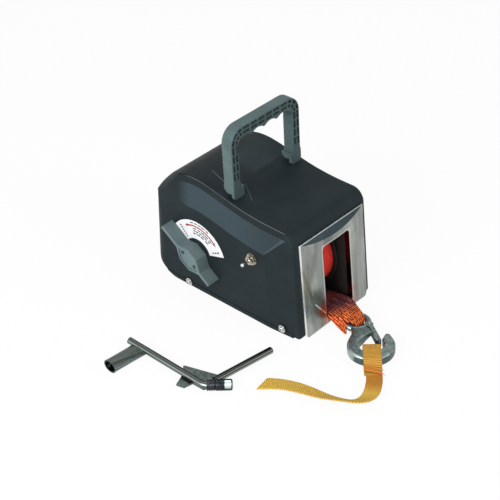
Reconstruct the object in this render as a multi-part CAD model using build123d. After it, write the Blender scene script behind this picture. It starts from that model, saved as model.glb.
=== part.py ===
"""Portable electric winch: moulded housing on a steel pan, geared drum with webbing, hook and hand crank.

Millimetres. +X is the pull direction, +Z is up and -Y is the side with the clutch knob and the switch.
The origin is the centre of the mounting bolt pattern, on the underside of the base pan.
"""
from build123d import *
import math
import os

# Housing shell
FRONT_X = 134.0
ROOF_FRONT_Z = 175.5
ROOF_FLAT_X = 115.0
ROOF_SPAN_COUNT = 7
CROWN_X = -52.0
CROWN_Z = 196.0
DOME_RADIUS = 89.0
REAR_LEAN = 4.3
TOP_HALF_WIDTH = 76.0
BEVEL_FLARE = 3.0
BEVEL_TOP_DROP = 12.0
BEVEL_LOW_DROP = 51.0
BEVEL_FRONT_X = 79.7
BEVEL_FRONT_SETBACK = 13.0
SHELL_WALL = 3.0
SHELL_BOTTOM_Z = 0.8
FRONT_TOP_ROUND = 20.0
FRONT_BOTTOM_ROUND = 7.0
REAR_BOTTOM_ROUND = 45.0
REAR_CORNER_ROUND = 22.0
EDGE_ROUND = 3.5
SKIRT_TOP_Z = 7.5
SKIRT_PROUD = 0.8
APERTURE_HALF_WIDTH = 58.0
APERTURE_BOTTOM_Z = 9.0
APERTURE_TOP_Z = 150.0

# Base pan and its fixings
PAN_THICKNESS = 3.0
PAN_REAR_X = -106.0
PAN_FRONT_X = 137.0
PAN_INSET = 7.5
PAN_FLANGE_Z = 20.0
PAN_FLANGE_THICKNESS = 2.5
BOLT_PITCH_X = 170.0
BOLT_PITCH_Y = 116.0
BOLT_HOLE = 8.5
SIDE_SCREW_PLACES = ((-74.0, 6.5), (110.0, 10.0))
SIDE_SCREW_THREAD = 4.2
SIDE_SCREW_HEAD = 7.6
SIDE_SCREW_HEAD_HEIGHT = 3.0
WASHER_DIAMETER = 12.0
WASHER_THICKNESS = 1.0
SCREW_BOSS_DIAMETER = 15.0
SCREW_BOSS_PROUD = 0.8

# Fairlead plate
PLATE_INSET = 8.5
PLATE_PROUD = 3.0
PLATE_BOW = 7.0
PLATE_BOW_RISE = 10.0
PLATE_TOP_Z = 157.0
PLATE_BOTTOM_Z = 1.0
PLATE_THICKNESS = 2.0
PLATE_LEAN = 8.0
PLATE_CORNER = 11.0
SLOT_Y = 1.5
SLOT_HALF_WIDTH = 28.0
SLOT_BOTTOM_Z = 16.0
SLOT_TOP_Z = 137.0
SLOT_CORNER = 7.0
LIP_WALL = 2.2
LIP_ROUND = 1.2

# Frame plates
FRAME_INNER_Y = 32.0
FRAME_THICKNESS = 4.0
FRAME_TOP_Z = 150.0
FRAME_FOOT = 16.0
FRAME_FRONT_GAP = 0.3
GEAR_FRAME_REAR_X = -125.0
GEAR_FRAME_HEEL_Z = 45.0
GEAR_FRAME_TOP_Z = 156.0
GEAR_FRAME_SHOULDER = 30.0
MOTOR_FRAME_REAR_X = -12.0
TIE_ROD_DIAMETER = 10.0
TIE_ROD_PLACES = ((2.0, 143.0), (118.0, 143.0), (2.0, 14.0))
CARRIER_THICKNESS = 3.0
CARRIER_GAP = 1.5
CARRIER_RIM = 2.0
CARRIER_BOSS = 24.0
PILLAR_DIAMETER = 10.0
PILLAR_PLACES = ((-112.0, 118.0), (-25.0, 62.0), (-44.0, 148.0))
FRAME_SCREW_DIAMETER = 5.0
FRAME_SCREW_HEAD = 9.0
FRAME_SCREW_HEAD_HEIGHT = 3.0
GEAR_FOOT_SCREW_X = (-98.0, -40.0, 30.0, 105.0)
MOTOR_FOOT_SCREW_X = (10.0, 105.0)

# Drum and strap
DRUM_X = 59.0
DRUM_Z = 77.0
DRUM_HUB_RADIUS = 24.0
DRUM_FLANGE_RADIUS = 64.0
DRUM_FLANGE_THICKNESS = 2.0
DRUM_SHAFT_DIAMETER = 16.0
DRUM_BUSH_DIAMETER = 24.0
DRUM_BUSH_FLANGE = 30.0
DRUM_BUSH_FLANGE_THICKNESS = 1.5
STRAP_WIDTH = 50.0
STRAP_SIDE_GAP = 0.4
STRAP_THICKNESS = 2.4
STRAP_PITCH = 2.95
STRAP_TURNS = 2
STRAP_CORE_RADIUS = 53.0
ROLL_END_ANGLE = -95.0
ROLL_CORE_GAP = 0.1
LEAD_CLEARANCE = 0.6
LEAD_START = 7.0
# Middle of the strap on its way out: x and z
LEAD_FLAT = ((104.0, 17.2), (128.0, 20.6), (150.0, 23.4))
# Gathered end of the strap: distance behind the hook eye, height over it, half width, thickness
LEAD_GATHER = ((25.0, 10.3, 24.0, 3.6), (18.0, 5.3, 19.0, 5.2), (13.0, 3.3, 13.5, 5.6))
RUNNING_CLEARANCE = 0.05

# Gear train, from the drum back to the motor
GEAR_BACKLASH = 0.22
GEAR_ADDENDUM = 0.72
GEAR_DEDENDUM = 1.2
PRESSURE_ANGLE = 20.0
LOW_MODULE = 2.0
MIDDLE_MODULE = 1.5
HIGH_MODULE = 1.0
PINION_TEETH = 12
DRUM_GEAR_TEETH = 66
DRUM_GEAR_HOLE_COUNT = 6
DRUM_GEAR_HOLE = 18.0
DRUM_GEAR_HOLE_RADIUS = 38.0
MIDDLE_GEAR_TEETH = 54
CLUTCH_GEAR_TEETH = 60
LOW_FACE = 10.0
MIDDLE_FACE = 8.0
HIGH_FACE = 8.0
GEAR_SIDE_GAP = 2.0
FRAME_GEAR_GAP = 4.0
GEAR_SHAFT_DIAMETER = 10.0
MIDDLE_GEAR_ANGLE = 152.94
CLUTCH_GEAR_ANGLE = 180.6
MOTOR_ANGLE = 218.8
CLUTCH_TRAVEL = 9.5

# Clutch control
KNOB_X = -50.0
KNOB_Z = 68.5
KNOB_POINTER = 62.0
KNOB_TAIL = 48.0
KNOB_REST_ANGLE = 143.5
KNOB_HEIGHT = 21.0
KNOB_GAP = 1.0
KNOB_TURN = 105.0
KNOB_BLADE = 5.0
KNOB_HUB_WIDTH = 30.0
KNOB_HUB_LENGTH = 52.0
KNOB_HUB_FLAT = 20.0
KNOB_ROUND = 0.8
KNOB_RIM = 2.5
KNOB_RECESS = 1.5
KNOB_SCREW_SPACING = 27.0
KNOB_SCREW_DIAMETER = 3.5
KNOB_SCREW_HEAD = 6.0
KNOB_SCREW_GRIP = 5.0
SPINDLE_DIAMETER = 10.0
SPINDLE_FLANGE_LENGTH = 38.0
SPINDLE_FLANGE_THICKNESS = 3.0
SPINDLE_CAM_DIAMETER = 15.0
CAM_GROOVE = 3.4
CAM_GROOVE_DEPTH = 2.5
CAM_STEP_COUNT = 12
CAM_END_GAP = 0.3
FORK_THICKNESS = 3.0
FORK_SIDE_GAP = 0.5
FORK_NECK_RADIUS = 7.0
FORK_CLEARANCE = 0.3
FORK_RIM = 5.0
FORK_PIN_DIAMETER = 2.4
FORK_PIN_ANGLE = 60.0
GUIDE_DIAMETER = 6.0
GUIDE_X = -72.0
GUIDE_Z = 66.0
DECAL_INNER = 25.0
DECAL_OUTER = 55.0
DECAL_START = 16.5
DECAL_SWEEP = 130.5
DECAL_THICKNESS = 0.3

# Switch
SWITCH_X = 58.5
SWITCH_Z = 108.0
SWITCH_BUSH_DIAMETER = 12.0
SWITCH_BUSH_PROUD = 7.0
SWITCH_NUT_FLATS = 15.0
SWITCH_NUT_THICKNESS = 2.5
SWITCH_WASHER_DIAMETER = 18.0
SWITCH_BODY = (15.0, 12.0, 20.0)
SWITCH_LEVER_LENGTH = 19.0
SWITCH_LEVER_DIAMETER = 3.4
SWITCH_BALL_DIAMETER = 6.0
SWITCH_PIVOT_DEPTH = 2.0
SWITCH_PIVOT_DIAMETER = 6.2

# Motor
MOTOR_RADIUS = 31.0
MOTOR_LENGTH = 88.0
MOTOR_CAP_LENGTH = 10.0
MOTOR_WALL = 3.0
MOTOR_FRONT_WALL = 3.0
MOTOR_PILOT_RADIUS = 11.0
MOTOR_SHAFT_DIAMETER = 8.0
MOTOR_SCREW_RADIUS = 22.0
MOTOR_SCREW_ANGLE = 170.0
MAGNET_THICKNESS = 5.0
MAGNET_SLOT = 9.0
MAGNET_END_GAP = 8.0
ARMATURE_GAP = 1.0
ARMATURE_LENGTH = 50.0
PINION_END_GAP = 0.5
SOCKET_DIAMETER = 17.0
SOCKET_BORE = 10.4
SOCKET_DEPTH = 7.0
SOCKET_LENGTH = 11.0
SOCKET_GAP = 0.5
CRANK_HOLE_DIAMETER = 22.0
CRADLE_WIDTH = 34.0
CRADLE_LENGTH = 12.0
CRADLE_Y = 44.0

# Carry handle
HANDLE_X = 12.5
HANDLE_PIVOT_Z = 202.0
HANDLE_TOP_Z = 293.0
HANDLE_HALF_WIDTH = 69.5
HANDLE_DEPTH = 19.5
HANDLE_LEG = 15.0
HANDLE_CORNER = 24.0
HANDLE_FOOT_RADIUS = 9.5
HANDLE_FOOT_WIDTH = 20.5
HANDLE_LIP_TOP_Z = 201.0
HANDLE_STOP_GAP = 0.5
HANDLE_STOP_ROUND = 4.0
HANDLE_PIN_DIAMETER = 5.0
HANDLE_PIN_SEAT = 4.0
HANDLE_LUG_RADIUS = 4.6
HANDLE_LUG_WIDTH = 4.0
HANDLE_LUG_GAP = 0.4
HANDLE_POCKET_DEPTH = 5.0
HANDLE_POCKET_LOW_Z = 213.0
HANDLE_RIB = 2.0
HANDLE_LEG_POCKET_COUNT = 4
HANDLE_BAR_POCKET_COUNT = 6
HANDLE_SCALLOP_COUNT = 4
HANDLE_SCALLOP_SPACING = 25.5
HANDLE_SCALLOP_DEPTH = 5.5
HANDLE_SCALLOP_Y = -3.0
HANDLE_EDGE_ROUND = 2.5

# Hook, in its own frame: U runs from the eye to the bowl, V to the open side
HOOK_X = 183.0
HOOK_Y = -1.0
HOOK_Z = 10.2
HOOK_ANGLE = -31.8
HOOK_REACH = 58.8
HOOK_THICKNESS = 15.0
HOOK_ROUND = 3.5
HOOK_BOWL_OUTER = 33.5
HOOK_BOWL_INNER = 17.0
HOOK_THROAT = (28.0, 12.0)
HOOK_HEEL = (26.6, -17.3)
HOOK_TIP = (37.0, 31.5)
HOOK_TIP_ROOT = (52.5, 18.0)
HOOK_TIP_ROUND = 4.5
HOOK_SOFT_BEND = 7.0
EYE_RADIUS = 15.5
EYE_BAR = 9.4
EYE_LOOP_GAP = 0.5
EYE_LOOP_HALF = 10.0
LATCH_PIVOT = (16.0, 13.0)
LATCH_LENGTH = 38.0
LATCH_ABOVE = 3.6
LATCH_BELOW = 2.4
LATCH_SPINE_START = 18.0
LATCH_SWEEP = 27.0
LATCH_WEB = 8.2
LATCH_SIDE_GAP = 0.9
LATCH_SHEET = 1.5
LATCH_PIN_DIAMETER = 3.5
LATCH_EAR_RADIUS = 5.0

# Pull strap
PULL_WIDTH = 25.0
PULL_THICKNESS = 1.8
PULL_CLEARANCE = 0.3
PULL_FOLD = (57.5, 1.0)
PULL_HEADING = -16.6
PULL_BAR = 34.0
PULL_LAP = 54.0
PULL_LAP_Z = 5.2
PULL_LAP_FLAT = 5.0
PULL_STRAIGHT = 8.0
PULL_LAP_RISE = 3.4
PULL_SOFT_BEND = 12.0
# Each station: x, y, z of the middle of the strap and the tilt of its width from level, in degrees
PULL_ROUTE = (
    (279.5, -85.2, 4.6, 3.0),
    (285.8, -95.2, 4.2, 7.0),
    (290.2, -106.5, 4.6, 14.0),
    (290.8, -117.8, 6.0, 22.0),
    (287.0, -127.6, 7.8, 31.0),
    (278.8, -135.0, 8.9, 36.0),
    (264.6, -141.4, 8.4, 34.0),
    (250.5, -145.8, 7.0, 27.5),
    (235.6, -148.4, 5.6, 20.5),
    (219.6, -150.4, 4.4, 14.5),
    (203.5, -154.0, 3.7, 11.0),
    (188.2, -159.4, 3.2, 9.0),
    (173.2, -167.6, 2.7, 7.0),
    (161.5, -177.5, 2.4, 5.0),
)

# Hand crank, lying on the floor
CRANK_ROD_DIAMETER = 10.0
CRANK_FLOOR_GAP = 0.2
CRANK_ARM_START = (-40.0, -233.0)
CRANK_ARM_END = (108.5, -234.0)
CRANK_STUB_END = (137.0, -208.5)
CRANK_BEND_RADIUS = 14.0
CRANK_SLEEVE_DIAMETER = 16.0
CRANK_SLEEVE_LENGTH = 24.0
CRANK_SLEEVE_ROUND = 3.0
CRANK_DRIVE_START = (112.0, -218.5)
CRANK_DRIVE_END = (128.3, -120.5)
CRANK_DRIVE_CHAMFER = 1.5
CRANK_GRIP_X = -17.5
CRANK_GRIP_LENGTH = 58.0
CRANK_GRIP_HALF_WIDTH = 11.5
CRANK_GRIP_HALF_HEIGHT = 10.0
CRANK_GRIP_WALL = 2.0
CRANK_GRIP_ROOT_HALF_WIDTH = 14.7
CRANK_GRIP_ROOT_HALF_HEIGHT = 5.0
CRANK_GUSSET_THICKNESS = 3.0
CRANK_GUSSET = ((52.5, -218.5), (106.0, -201.8), (125.0, -208.0), (108.0, -236.0), (88.0, -236.5),
                (85.0, -250.0), (73.0, -253.0), (67.5, -238.5))

# Places that follow from the driving dimensions
SIDE_HALF_WIDTH = TOP_HALF_WIDTH + BEVEL_FLARE
PAN_HALF_WIDTH = TOP_HALF_WIDTH - PAN_INSET
PLATE_HALF_WIDTH = TOP_HALF_WIDTH - PLATE_INSET
GEAR_Y = -(FRAME_INNER_Y + FRAME_THICKNESS)
WHEEL_Y = GEAR_Y - FRAME_GEAR_GAP
LOW_Y = WHEEL_Y - MIDDLE_FACE - GEAR_SIDE_GAP
CLUTCH_WHEEL_Y = WHEEL_Y - MIDDLE_FACE - FORK_THICKNESS - 2 * FORK_SIDE_GAP
CARRIER_Y = CLUTCH_WHEEL_Y - HIGH_FACE - CLUTCH_TRAVEL - CARRIER_GAP
MOTOR_END_Y = -FRAME_INNER_Y + MOTOR_LENGTH
LOW_CENTRES = LOW_MODULE * (DRUM_GEAR_TEETH + PINION_TEETH) / 2
MIDDLE_CENTRES = MIDDLE_MODULE * (MIDDLE_GEAR_TEETH + PINION_TEETH) / 2
HIGH_CENTRES = HIGH_MODULE * (CLUTCH_GEAR_TEETH + PINION_TEETH) / 2
ROLL_START = STRAP_CORE_RADIUS + ROLL_CORE_GAP + STRAP_THICKNESS / 2 + STRAP_PITCH / 4
ROLL_OUTER = ROLL_START + (2 * STRAP_TURNS - 1) * STRAP_PITCH / 2 + STRAP_THICKNESS / 2 + STRAP_PITCH / 4
HANDLE_LUG_Y = HANDLE_HALF_WIDTH - HANDLE_LEG / 2
HANDLE_FRONT_X = HANDLE_X + HANDLE_DEPTH / 2
HANDLE_STOP_X = HANDLE_X + HANDLE_LUG_RADIUS + HANDLE_LUG_GAP
CRANK_Z = CRANK_FLOOR_GAP + CRANK_GUSSET_THICKNESS + CRANK_ROD_DIAMETER / 2


def polar(centre, distance, degrees):
    """Point at a distance and angle from a centre, in the XZ plane."""
    angle = math.radians(degrees)
    return (centre[0] + distance * math.cos(angle), centre[1] + distance * math.sin(angle))


DRUM = (DRUM_X, DRUM_Z)
MIDDLE = polar(DRUM, LOW_CENTRES, MIDDLE_GEAR_ANGLE)
CLUTCH = polar(MIDDLE, MIDDLE_CENTRES, CLUTCH_GEAR_ANGLE)
MOTOR = polar(CLUTCH, HIGH_CENTRES, MOTOR_ANGLE)
KNOB = (KNOB_X, KNOB_Z)


def block(x0, x1, y0, y1, z0, z1):
    """Box between two corners."""
    middle = Pos((x0 + x1) / 2, (y0 + y1) / 2, (z0 + z1) / 2)
    return middle * Box(abs(x1 - x0), abs(y1 - y0), abs(z1 - z0))


def rod_y(diameter, place, y0, y1):
    """Cylinder along Y at an XZ place."""
    return Pos(place[0], (y0 + y1) / 2, place[1]) * Rot(90, 0, 0) * Cylinder(diameter / 2, abs(y1 - y0))


def rod_z(diameter, x, y, z0, z1):
    """Cylinder along Z."""
    return Pos(x, y, (z0 + z1) / 2) * Cylinder(diameter / 2, abs(z1 - z0))


def prism_y(sketch, y0, y1):
    """Sketch drawn in X and Z, made solid between two Y planes."""
    return Pos(0, y0, 0) * extrude(Plane.XZ * sketch, amount=y1 - y0, dir=(0, 1, 0))


def outline(points):
    """Face from a closed run of straight edges."""
    return make_face(Polyline(*points, close=True))


def corner(face, x, y):
    """Vertex of a face nearest to a point."""
    return face.vertices().sort_by(lambda v: (v.X - x) ** 2 + (v.Y - y) ** 2)[0]


def roof_z(x):
    """Height of the roof line: level at the front, rising in an S to the crown."""
    t = (ROOF_FLAT_X - x) / (ROOF_FLAT_X - CROWN_X)
    t = min(max(t, 0.0), 1.0) ** 1.5
    return ROOF_FRONT_Z + (CROWN_Z - ROOF_FRONT_Z) * t * t * (3 - 2 * t)


def front_lean(z):
    """How far the front stands forward of its place at the top edge of the fairlead plate."""
    return PLATE_LEAN * (PLATE_TOP_Z - z) / (PLATE_TOP_Z - PLATE_BOTTOM_Z)


def side_profile(front_x, bottom_z, inset=0.0, drop=0.0, rounded=False):
    """Housing outline seen from the side; its front leans, and drop lowers its roof and dome."""
    lean = math.radians(REAR_LEAN)
    fall = inset + drop
    dome = DOME_RADIUS - inset
    centre = (CROWN_X, CROWN_Z - drop - DOME_RADIUS)
    crown = (CROWN_X, CROWN_Z - fall)
    dome_middle = polar(centre, dome, 135)
    rear_top = polar(centre, dome, 180 - REAR_LEAN)
    heel = (rear_top[0] - (rear_top[1] - bottom_z) * math.tan(lean), bottom_z)
    toe = (front_x + front_lean(bottom_z), bottom_z)
    brow_x = front_x + front_lean(roof_z(front_x) - fall)
    stations = [brow_x + (CROWN_X - brow_x) * k / ROOF_SPAN_COUNT for k in range(ROOF_SPAN_COUNT + 1)]
    roof_points = [(x, roof_z(x) - fall) for x in stations]
    edges = [
        Line(toe, roof_points[0]),
        Spline(*roof_points, tangents=[(-1, 0), (-1, 0)]),
        ThreePointArc(crown, dome_middle, rear_top),
        Line(rear_top, heel),
        Line(heel, toe),
    ]
    face = make_face(edges)
    face = fillet(corner(face, *heel), REAR_BOTTOM_ROUND - inset)
    if rounded:
        face = fillet(corner(face, *roof_points[0]), FRONT_TOP_ROUND - inset)
        face = fillet(corner(face, *toe), FRONT_BOTTOM_ROUND - inset)
    return face


def housing_solid(inset, bottom_z):
    """Closed housing body, shrunk by an inset."""
    top_y = TOP_HALF_WIDTH - inset
    side_y = SIDE_HALF_WIDTH - inset
    core_face = side_profile(FRONT_X - inset, bottom_z, inset, 0.0, True)
    body = prism_y(core_face, -top_y, top_y)
    if not inset:
        rims = body.edges().filter_by(lambda e: abs(abs(e.center().Y) - top_y) < 0.01)
        rims = rims.filter_by(lambda e: e.center().Z > bottom_z + 0.01)
        body = fillet(rims, EDGE_ROUND)
    upper = side_profile(FRONT_X - BEVEL_FRONT_SETBACK - inset, bottom_z, inset, BEVEL_TOP_DROP)
    lower = side_profile(BEVEL_FRONT_X - inset, bottom_z, inset, BEVEL_LOW_DROP)
    for side in (-1, 1):
        inner_face = Pos(0, side * top_y, 0) * (Plane.XZ * upper)
        outer_face = Pos(0, side * side_y, 0) * (Plane.XZ * lower)
        body += loft([inner_face, outer_face], ruled=True)
    return body & rear_corners(inset) & dome_corners(inset)


def rear_corners(inset):
    """Prism along the leaning rear wall that rounds the rear corners of the housing."""
    lean = math.radians(REAR_LEAN)
    wall = polar((CROWN_X, CROWN_Z - DOME_RADIUS), DOME_RADIUS - inset, 180 - REAR_LEAN)
    heel_x = wall[0] - wall[1] * math.tan(lean)
    side_y = SIDE_HALF_WIDTH - inset
    plan = outline([(heel_x, -side_y), (2 * FRONT_X, -side_y), (2 * FRONT_X, side_y), (heel_x, side_y)])
    plan = fillet([corner(plan, heel_x, -side_y), corner(plan, heel_x, side_y)], REAR_CORNER_ROUND - inset)
    return extrude(plan, amount=(CROWN_Z + 1) / math.cos(lean), dir=(math.sin(lean), 0, math.cos(lean)))


def dome_corners(inset):
    """Prism across the dome, along its 45 degree tangent, that rounds its two ends."""
    side_y = SIDE_HALF_WIDTH - inset
    reach = (CROWN_Z - DOME_RADIUS - CROWN_X) / math.sqrt(2) + DOME_RADIUS - inset
    section = outline([(-side_y, -2 * CROWN_Z), (side_y, -2 * CROWN_Z), (side_y, reach), (-side_y, reach)])
    ends = [corner(section, -side_y, reach), corner(section, side_y, reach)]
    section = fillet(ends, REAR_CORNER_ROUND - inset)
    slant = Plane(origin=(0, 0, 0), x_dir=(0, 1, 0), z_dir=(1, 0, 1))
    return extrude(slant * section, amount=2 * CROWN_Z, both=True)


def side_wall_y(x, z):
    """Outer face of the housing side under the bevel."""
    rear = BEVEL_FRONT_X + front_lean(z)
    front = FRONT_X - BEVEL_FRONT_SETBACK + front_lean(z)
    share = min(max((x - rear) / (front - rear), 0.0), 1.0)
    return SIDE_HALF_WIDTH - BEVEL_FLARE * share


def screw_seat_y(place):
    """Outer face of the boss under a side screw's washer."""
    return side_wall_y(place[0] - SCREW_BOSS_DIAMETER / 2, place[1]) + SCREW_BOSS_PROUD


def housing_shell():
    """Moulded shell, open below and in front, with screw bosses and handle lugs."""
    shell = housing_solid(0.0, SHELL_BOTTOM_Z)
    shell += skirt()
    shell -= housing_solid(SHELL_WALL, SHELL_BOTTOM_Z + SHELL_WALL)
    shell -= block(PAN_REAR_X, PAN_FRONT_X, -PAN_HALF_WIDTH, PAN_HALF_WIDTH, 0, PAN_FLANGE_Z)
    shell -= block(FRONT_X - 2 * SHELL_WALL, FRONT_X + 2 * PLATE_LEAN, -APERTURE_HALF_WIDTH,
                   APERTURE_HALF_WIDTH, APERTURE_BOTTOM_Z, APERTURE_TOP_Z)
    for side in (-1, 1):
        for place in SIDE_SCREW_PLACES:
            seat = side * screw_seat_y(place)
            boss = rod_y(SCREW_BOSS_DIAMETER, place, side * PAN_HALF_WIDTH, seat)
            shell += boss - block(-CROWN_Z, CROWN_Z, -CROWN_Z, CROWN_Z, -CROWN_Z, SHELL_BOTTOM_Z)
            shell -= rod_y(SIDE_SCREW_THREAD + 0.3, place, side * PAN_HALF_WIDTH, seat)
        shell += handle_lug(side)
    inner = SIDE_HALF_WIDTH - 2 * SHELL_WALL
    shell -= rod_y(SPINDLE_DIAMETER + 2 * RUNNING_CLEARANCE, KNOB, -inner, -SIDE_HALF_WIDTH - 1)
    shell -= rod_y(SWITCH_BUSH_DIAMETER, (SWITCH_X, SWITCH_Z), -inner, -SIDE_HALF_WIDTH - 1)
    shell -= rod_y(CRANK_HOLE_DIAMETER, MOTOR, inner, SIDE_HALF_WIDTH + 1)
    return shell


def skirt():
    """Slightly proud band round the bottom of the shell."""
    lower = side_profile(BEVEL_FRONT_X, SHELL_BOTTOM_Z, 0.0, BEVEL_LOW_DROP)
    upper = side_profile(FRONT_X - BEVEL_FRONT_SETBACK, SHELL_BOTTOM_Z, 0.0, BEVEL_TOP_DROP)
    wide = 2 * SIDE_HALF_WIDTH
    band = block(-CROWN_Z, CROWN_Z, -wide, wide, SHELL_BOTTOM_Z, SKIRT_TOP_Z)
    result = None
    for side in (-1, 1):
        inner_face = Pos(0, side * (TOP_HALF_WIDTH + SKIRT_PROUD), 0) * (Plane.XZ * upper)
        outer_face = Pos(0, side * (SIDE_HALF_WIDTH + SKIRT_PROUD), 0) * (Plane.XZ * lower)
        rail = loft([inner_face, outer_face], ruled=True) & band
        rail = rail & rear_corners(-SKIRT_PROUD)
        inner = side * (TOP_HALF_WIDTH - SHELL_WALL)
        filler = prism_y(upper, inner, side * (TOP_HALF_WIDTH + SKIRT_PROUD)) & band
        rail += filler & rear_corners(-SKIRT_PROUD)
        result = rail if result is None else result + rail
    return result


def handle_lug(side):
    """Lug on the roof, in the slot of one handle foot, that holds the handle's pin."""
    place = (HANDLE_X, HANDLE_PIVOT_Z)
    inner = side * (HANDLE_LUG_Y - HANDLE_LUG_WIDTH / 2)
    outer = side * (HANDLE_LUG_Y + HANDLE_LUG_WIDTH / 2)
    root_z = roof_z(HANDLE_X + HANDLE_LUG_RADIUS) - SHELL_WALL / 2
    lug = rod_y(2 * HANDLE_LUG_RADIUS, place, inner, outer)
    half = HANDLE_LUG_RADIUS
    lug += block(HANDLE_X - half, HANDLE_X + half, inner, outer, root_z, HANDLE_PIVOT_Z)
    return lug - rod_y(HANDLE_PIN_DIAMETER, place, inner, outer)


def base_pan():
    """Folded steel pan with side flanges and the mounting holes."""
    pan = block(PAN_REAR_X, PAN_FRONT_X, -PAN_HALF_WIDTH, PAN_HALF_WIDTH, 0, PAN_THICKNESS)
    for side in (-1, 1):
        outer = side * PAN_HALF_WIDTH
        inner = side * (PAN_HALF_WIDTH - PAN_FLANGE_THICKNESS)
        pan += block(PAN_REAR_X, PAN_FRONT_X, inner, outer, 0, PAN_FLANGE_Z)
        for place in SIDE_SCREW_PLACES:
            pan -= rod_y(SIDE_SCREW_THREAD, place, inner, outer)
        for x in (-BOLT_PITCH_X / 2, BOLT_PITCH_X / 2):
            pan -= rod_z(BOLT_HOLE, x, side * BOLT_PITCH_Y / 2, 0, PAN_THICKNESS)
    for x in GEAR_FOOT_SCREW_X:
        pan -= rod_z(FRAME_SCREW_DIAMETER, x, -foot_screw_y(), 0, PAN_THICKNESS)
    for x in MOTOR_FOOT_SCREW_X:
        pan -= rod_z(FRAME_SCREW_DIAMETER, x, foot_screw_y(), 0, PAN_THICKNESS)
    return pan


def side_screws():
    """Pan-head screws through the shell into the pan, two a side."""
    screws = []
    for side in (-1, 1):
        for place in SIDE_SCREW_PLACES:
            x, z = place
            seat = screw_seat_y(place) + WASHER_THICKNESS
            end = PAN_HALF_WIDTH - PAN_FLANGE_THICKNESS
            stem = rod_y(SIDE_SCREW_THREAD, place, side * end, side * seat)
            head = rod_y(SIDE_SCREW_HEAD, place, side * seat, side * (seat + SIDE_SCREW_HEAD_HEIGHT))
            rim = head.edges().filter_by(GeomType.CIRCLE).sort_by(lambda e: abs(e.center().Y))[-1]
            head = fillet(rim, SIDE_SCREW_HEAD_HEIGHT * 0.6)
            top = side * (seat + SIDE_SCREW_HEAD_HEIGHT)
            deep = side * (seat + SIDE_SCREW_HEAD_HEIGHT * 0.4)
            arm = SIDE_SCREW_HEAD * 0.26
            head -= block(x - arm, x + arm, deep, top, z - 0.5, z + 0.5)
            head -= block(x - 0.5, x + 0.5, deep, top, z - arm, z + arm)
            screws.append(stem + head)
    return Compound(screws)


def side_washers():
    """Plain washers under the side screws."""
    washers = []
    for side in (-1, 1):
        for place in SIDE_SCREW_PLACES:
            seat = side * screw_seat_y(place)
            face = seat + side * WASHER_THICKNESS
            ring = rod_y(WASHER_DIAMETER, place, seat, face)
            washers.append(ring - rod_y(SIDE_SCREW_THREAD, place, seat, face))
    return Compound(washers)


def plate_front_x(z):
    """Front face of the leaning fairlead plate at its sides, at a height."""
    return FRONT_X + PLATE_PROUD + front_lean(z)


def plate_bow(y):
    """How far the bowed front stands forward of the plate's sides."""
    radius = (PLATE_HALF_WIDTH ** 2 + PLATE_BOW ** 2) / (2 * PLATE_BOW)
    return PLATE_BOW - radius + math.sqrt(radius ** 2 - y ** 2)


def plate_sketch(half_width, bottom, top, round_low, round_high=0.0):
    """Upright rectangle in Y and Z with rounded corners."""
    face = outline([(-half_width, bottom), (half_width, bottom), (half_width, top), (-half_width, top)])
    face = fillet([corner(face, -half_width, bottom), corner(face, half_width, bottom)], round_low)
    if round_high:
        face = fillet([corner(face, -half_width, top), corner(face, half_width, top)], round_high)
    return face


def along_x(sketch, x0, x1):
    """Sketch drawn in Y and Z, made solid between two X planes."""
    return Pos(x0, 0, 0) * extrude(Plane.YZ * sketch, amount=x1 - x0)


def leaning_slab(front_offset, back_offset):
    """Slab parallel to the leaning face, between two offsets from it."""
    low = PLATE_BOTTOM_Z - 20
    high = PLATE_TOP_Z + 20
    wide = 2 * SIDE_HALF_WIDTH
    section = outline([
        (plate_front_x(low) + back_offset, low),
        (plate_front_x(low) + front_offset, low),
        (plate_front_x(high) + front_offset, high),
        (plate_front_x(high) + back_offset, high),
    ])
    return prism_y(section, -wide, wide)


def bowed_block(back):
    """Solid behind the plate's bowed front, which falls back to a straight top and bottom edge."""
    spare = 2 * PLATE_THICKNESS
    low, high = PLATE_BOTTOM_Z - spare, PLATE_TOP_Z + spare
    half = PLATE_HALF_WIDTH + spare
    front = plate_front_x(low) - back
    edge = front + plate_bow(half)
    rear = front - 4 * PLATE_LEAN
    plan = make_face([
        ThreePointArc((edge, -half), (front + PLATE_BOW, 0), (edge, half)),
        Line((edge, half), (rear, half)),
        Line((rear, half), (rear, -half)),
        Line((rear, -half), (edge, -half)),
    ])
    lean = Vector(plate_front_x(high) - plate_front_x(low), 0, high - low)
    bowed = Pos(0, 0, low) * extrude(plan, amount=lean.length, dir=lean.normalized())
    slope = PLATE_BOW / PLATE_BOW_RISE
    rise = PLATE_BOW_RISE + spare
    limits = outline([
        (rear, low),
        (plate_front_x(low) - back - spare * slope, low),
        (plate_front_x(PLATE_BOTTOM_Z + rise) - back + rise * slope, PLATE_BOTTOM_Z + rise),
        (plate_front_x(PLATE_TOP_Z - rise) - back + rise * slope, PLATE_TOP_Z - rise),
        (plate_front_x(high) - back - spare * slope, high),
        (rear, high),
    ])
    return bowed & prism_y(limits, -half - spare, half + spare)


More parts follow.
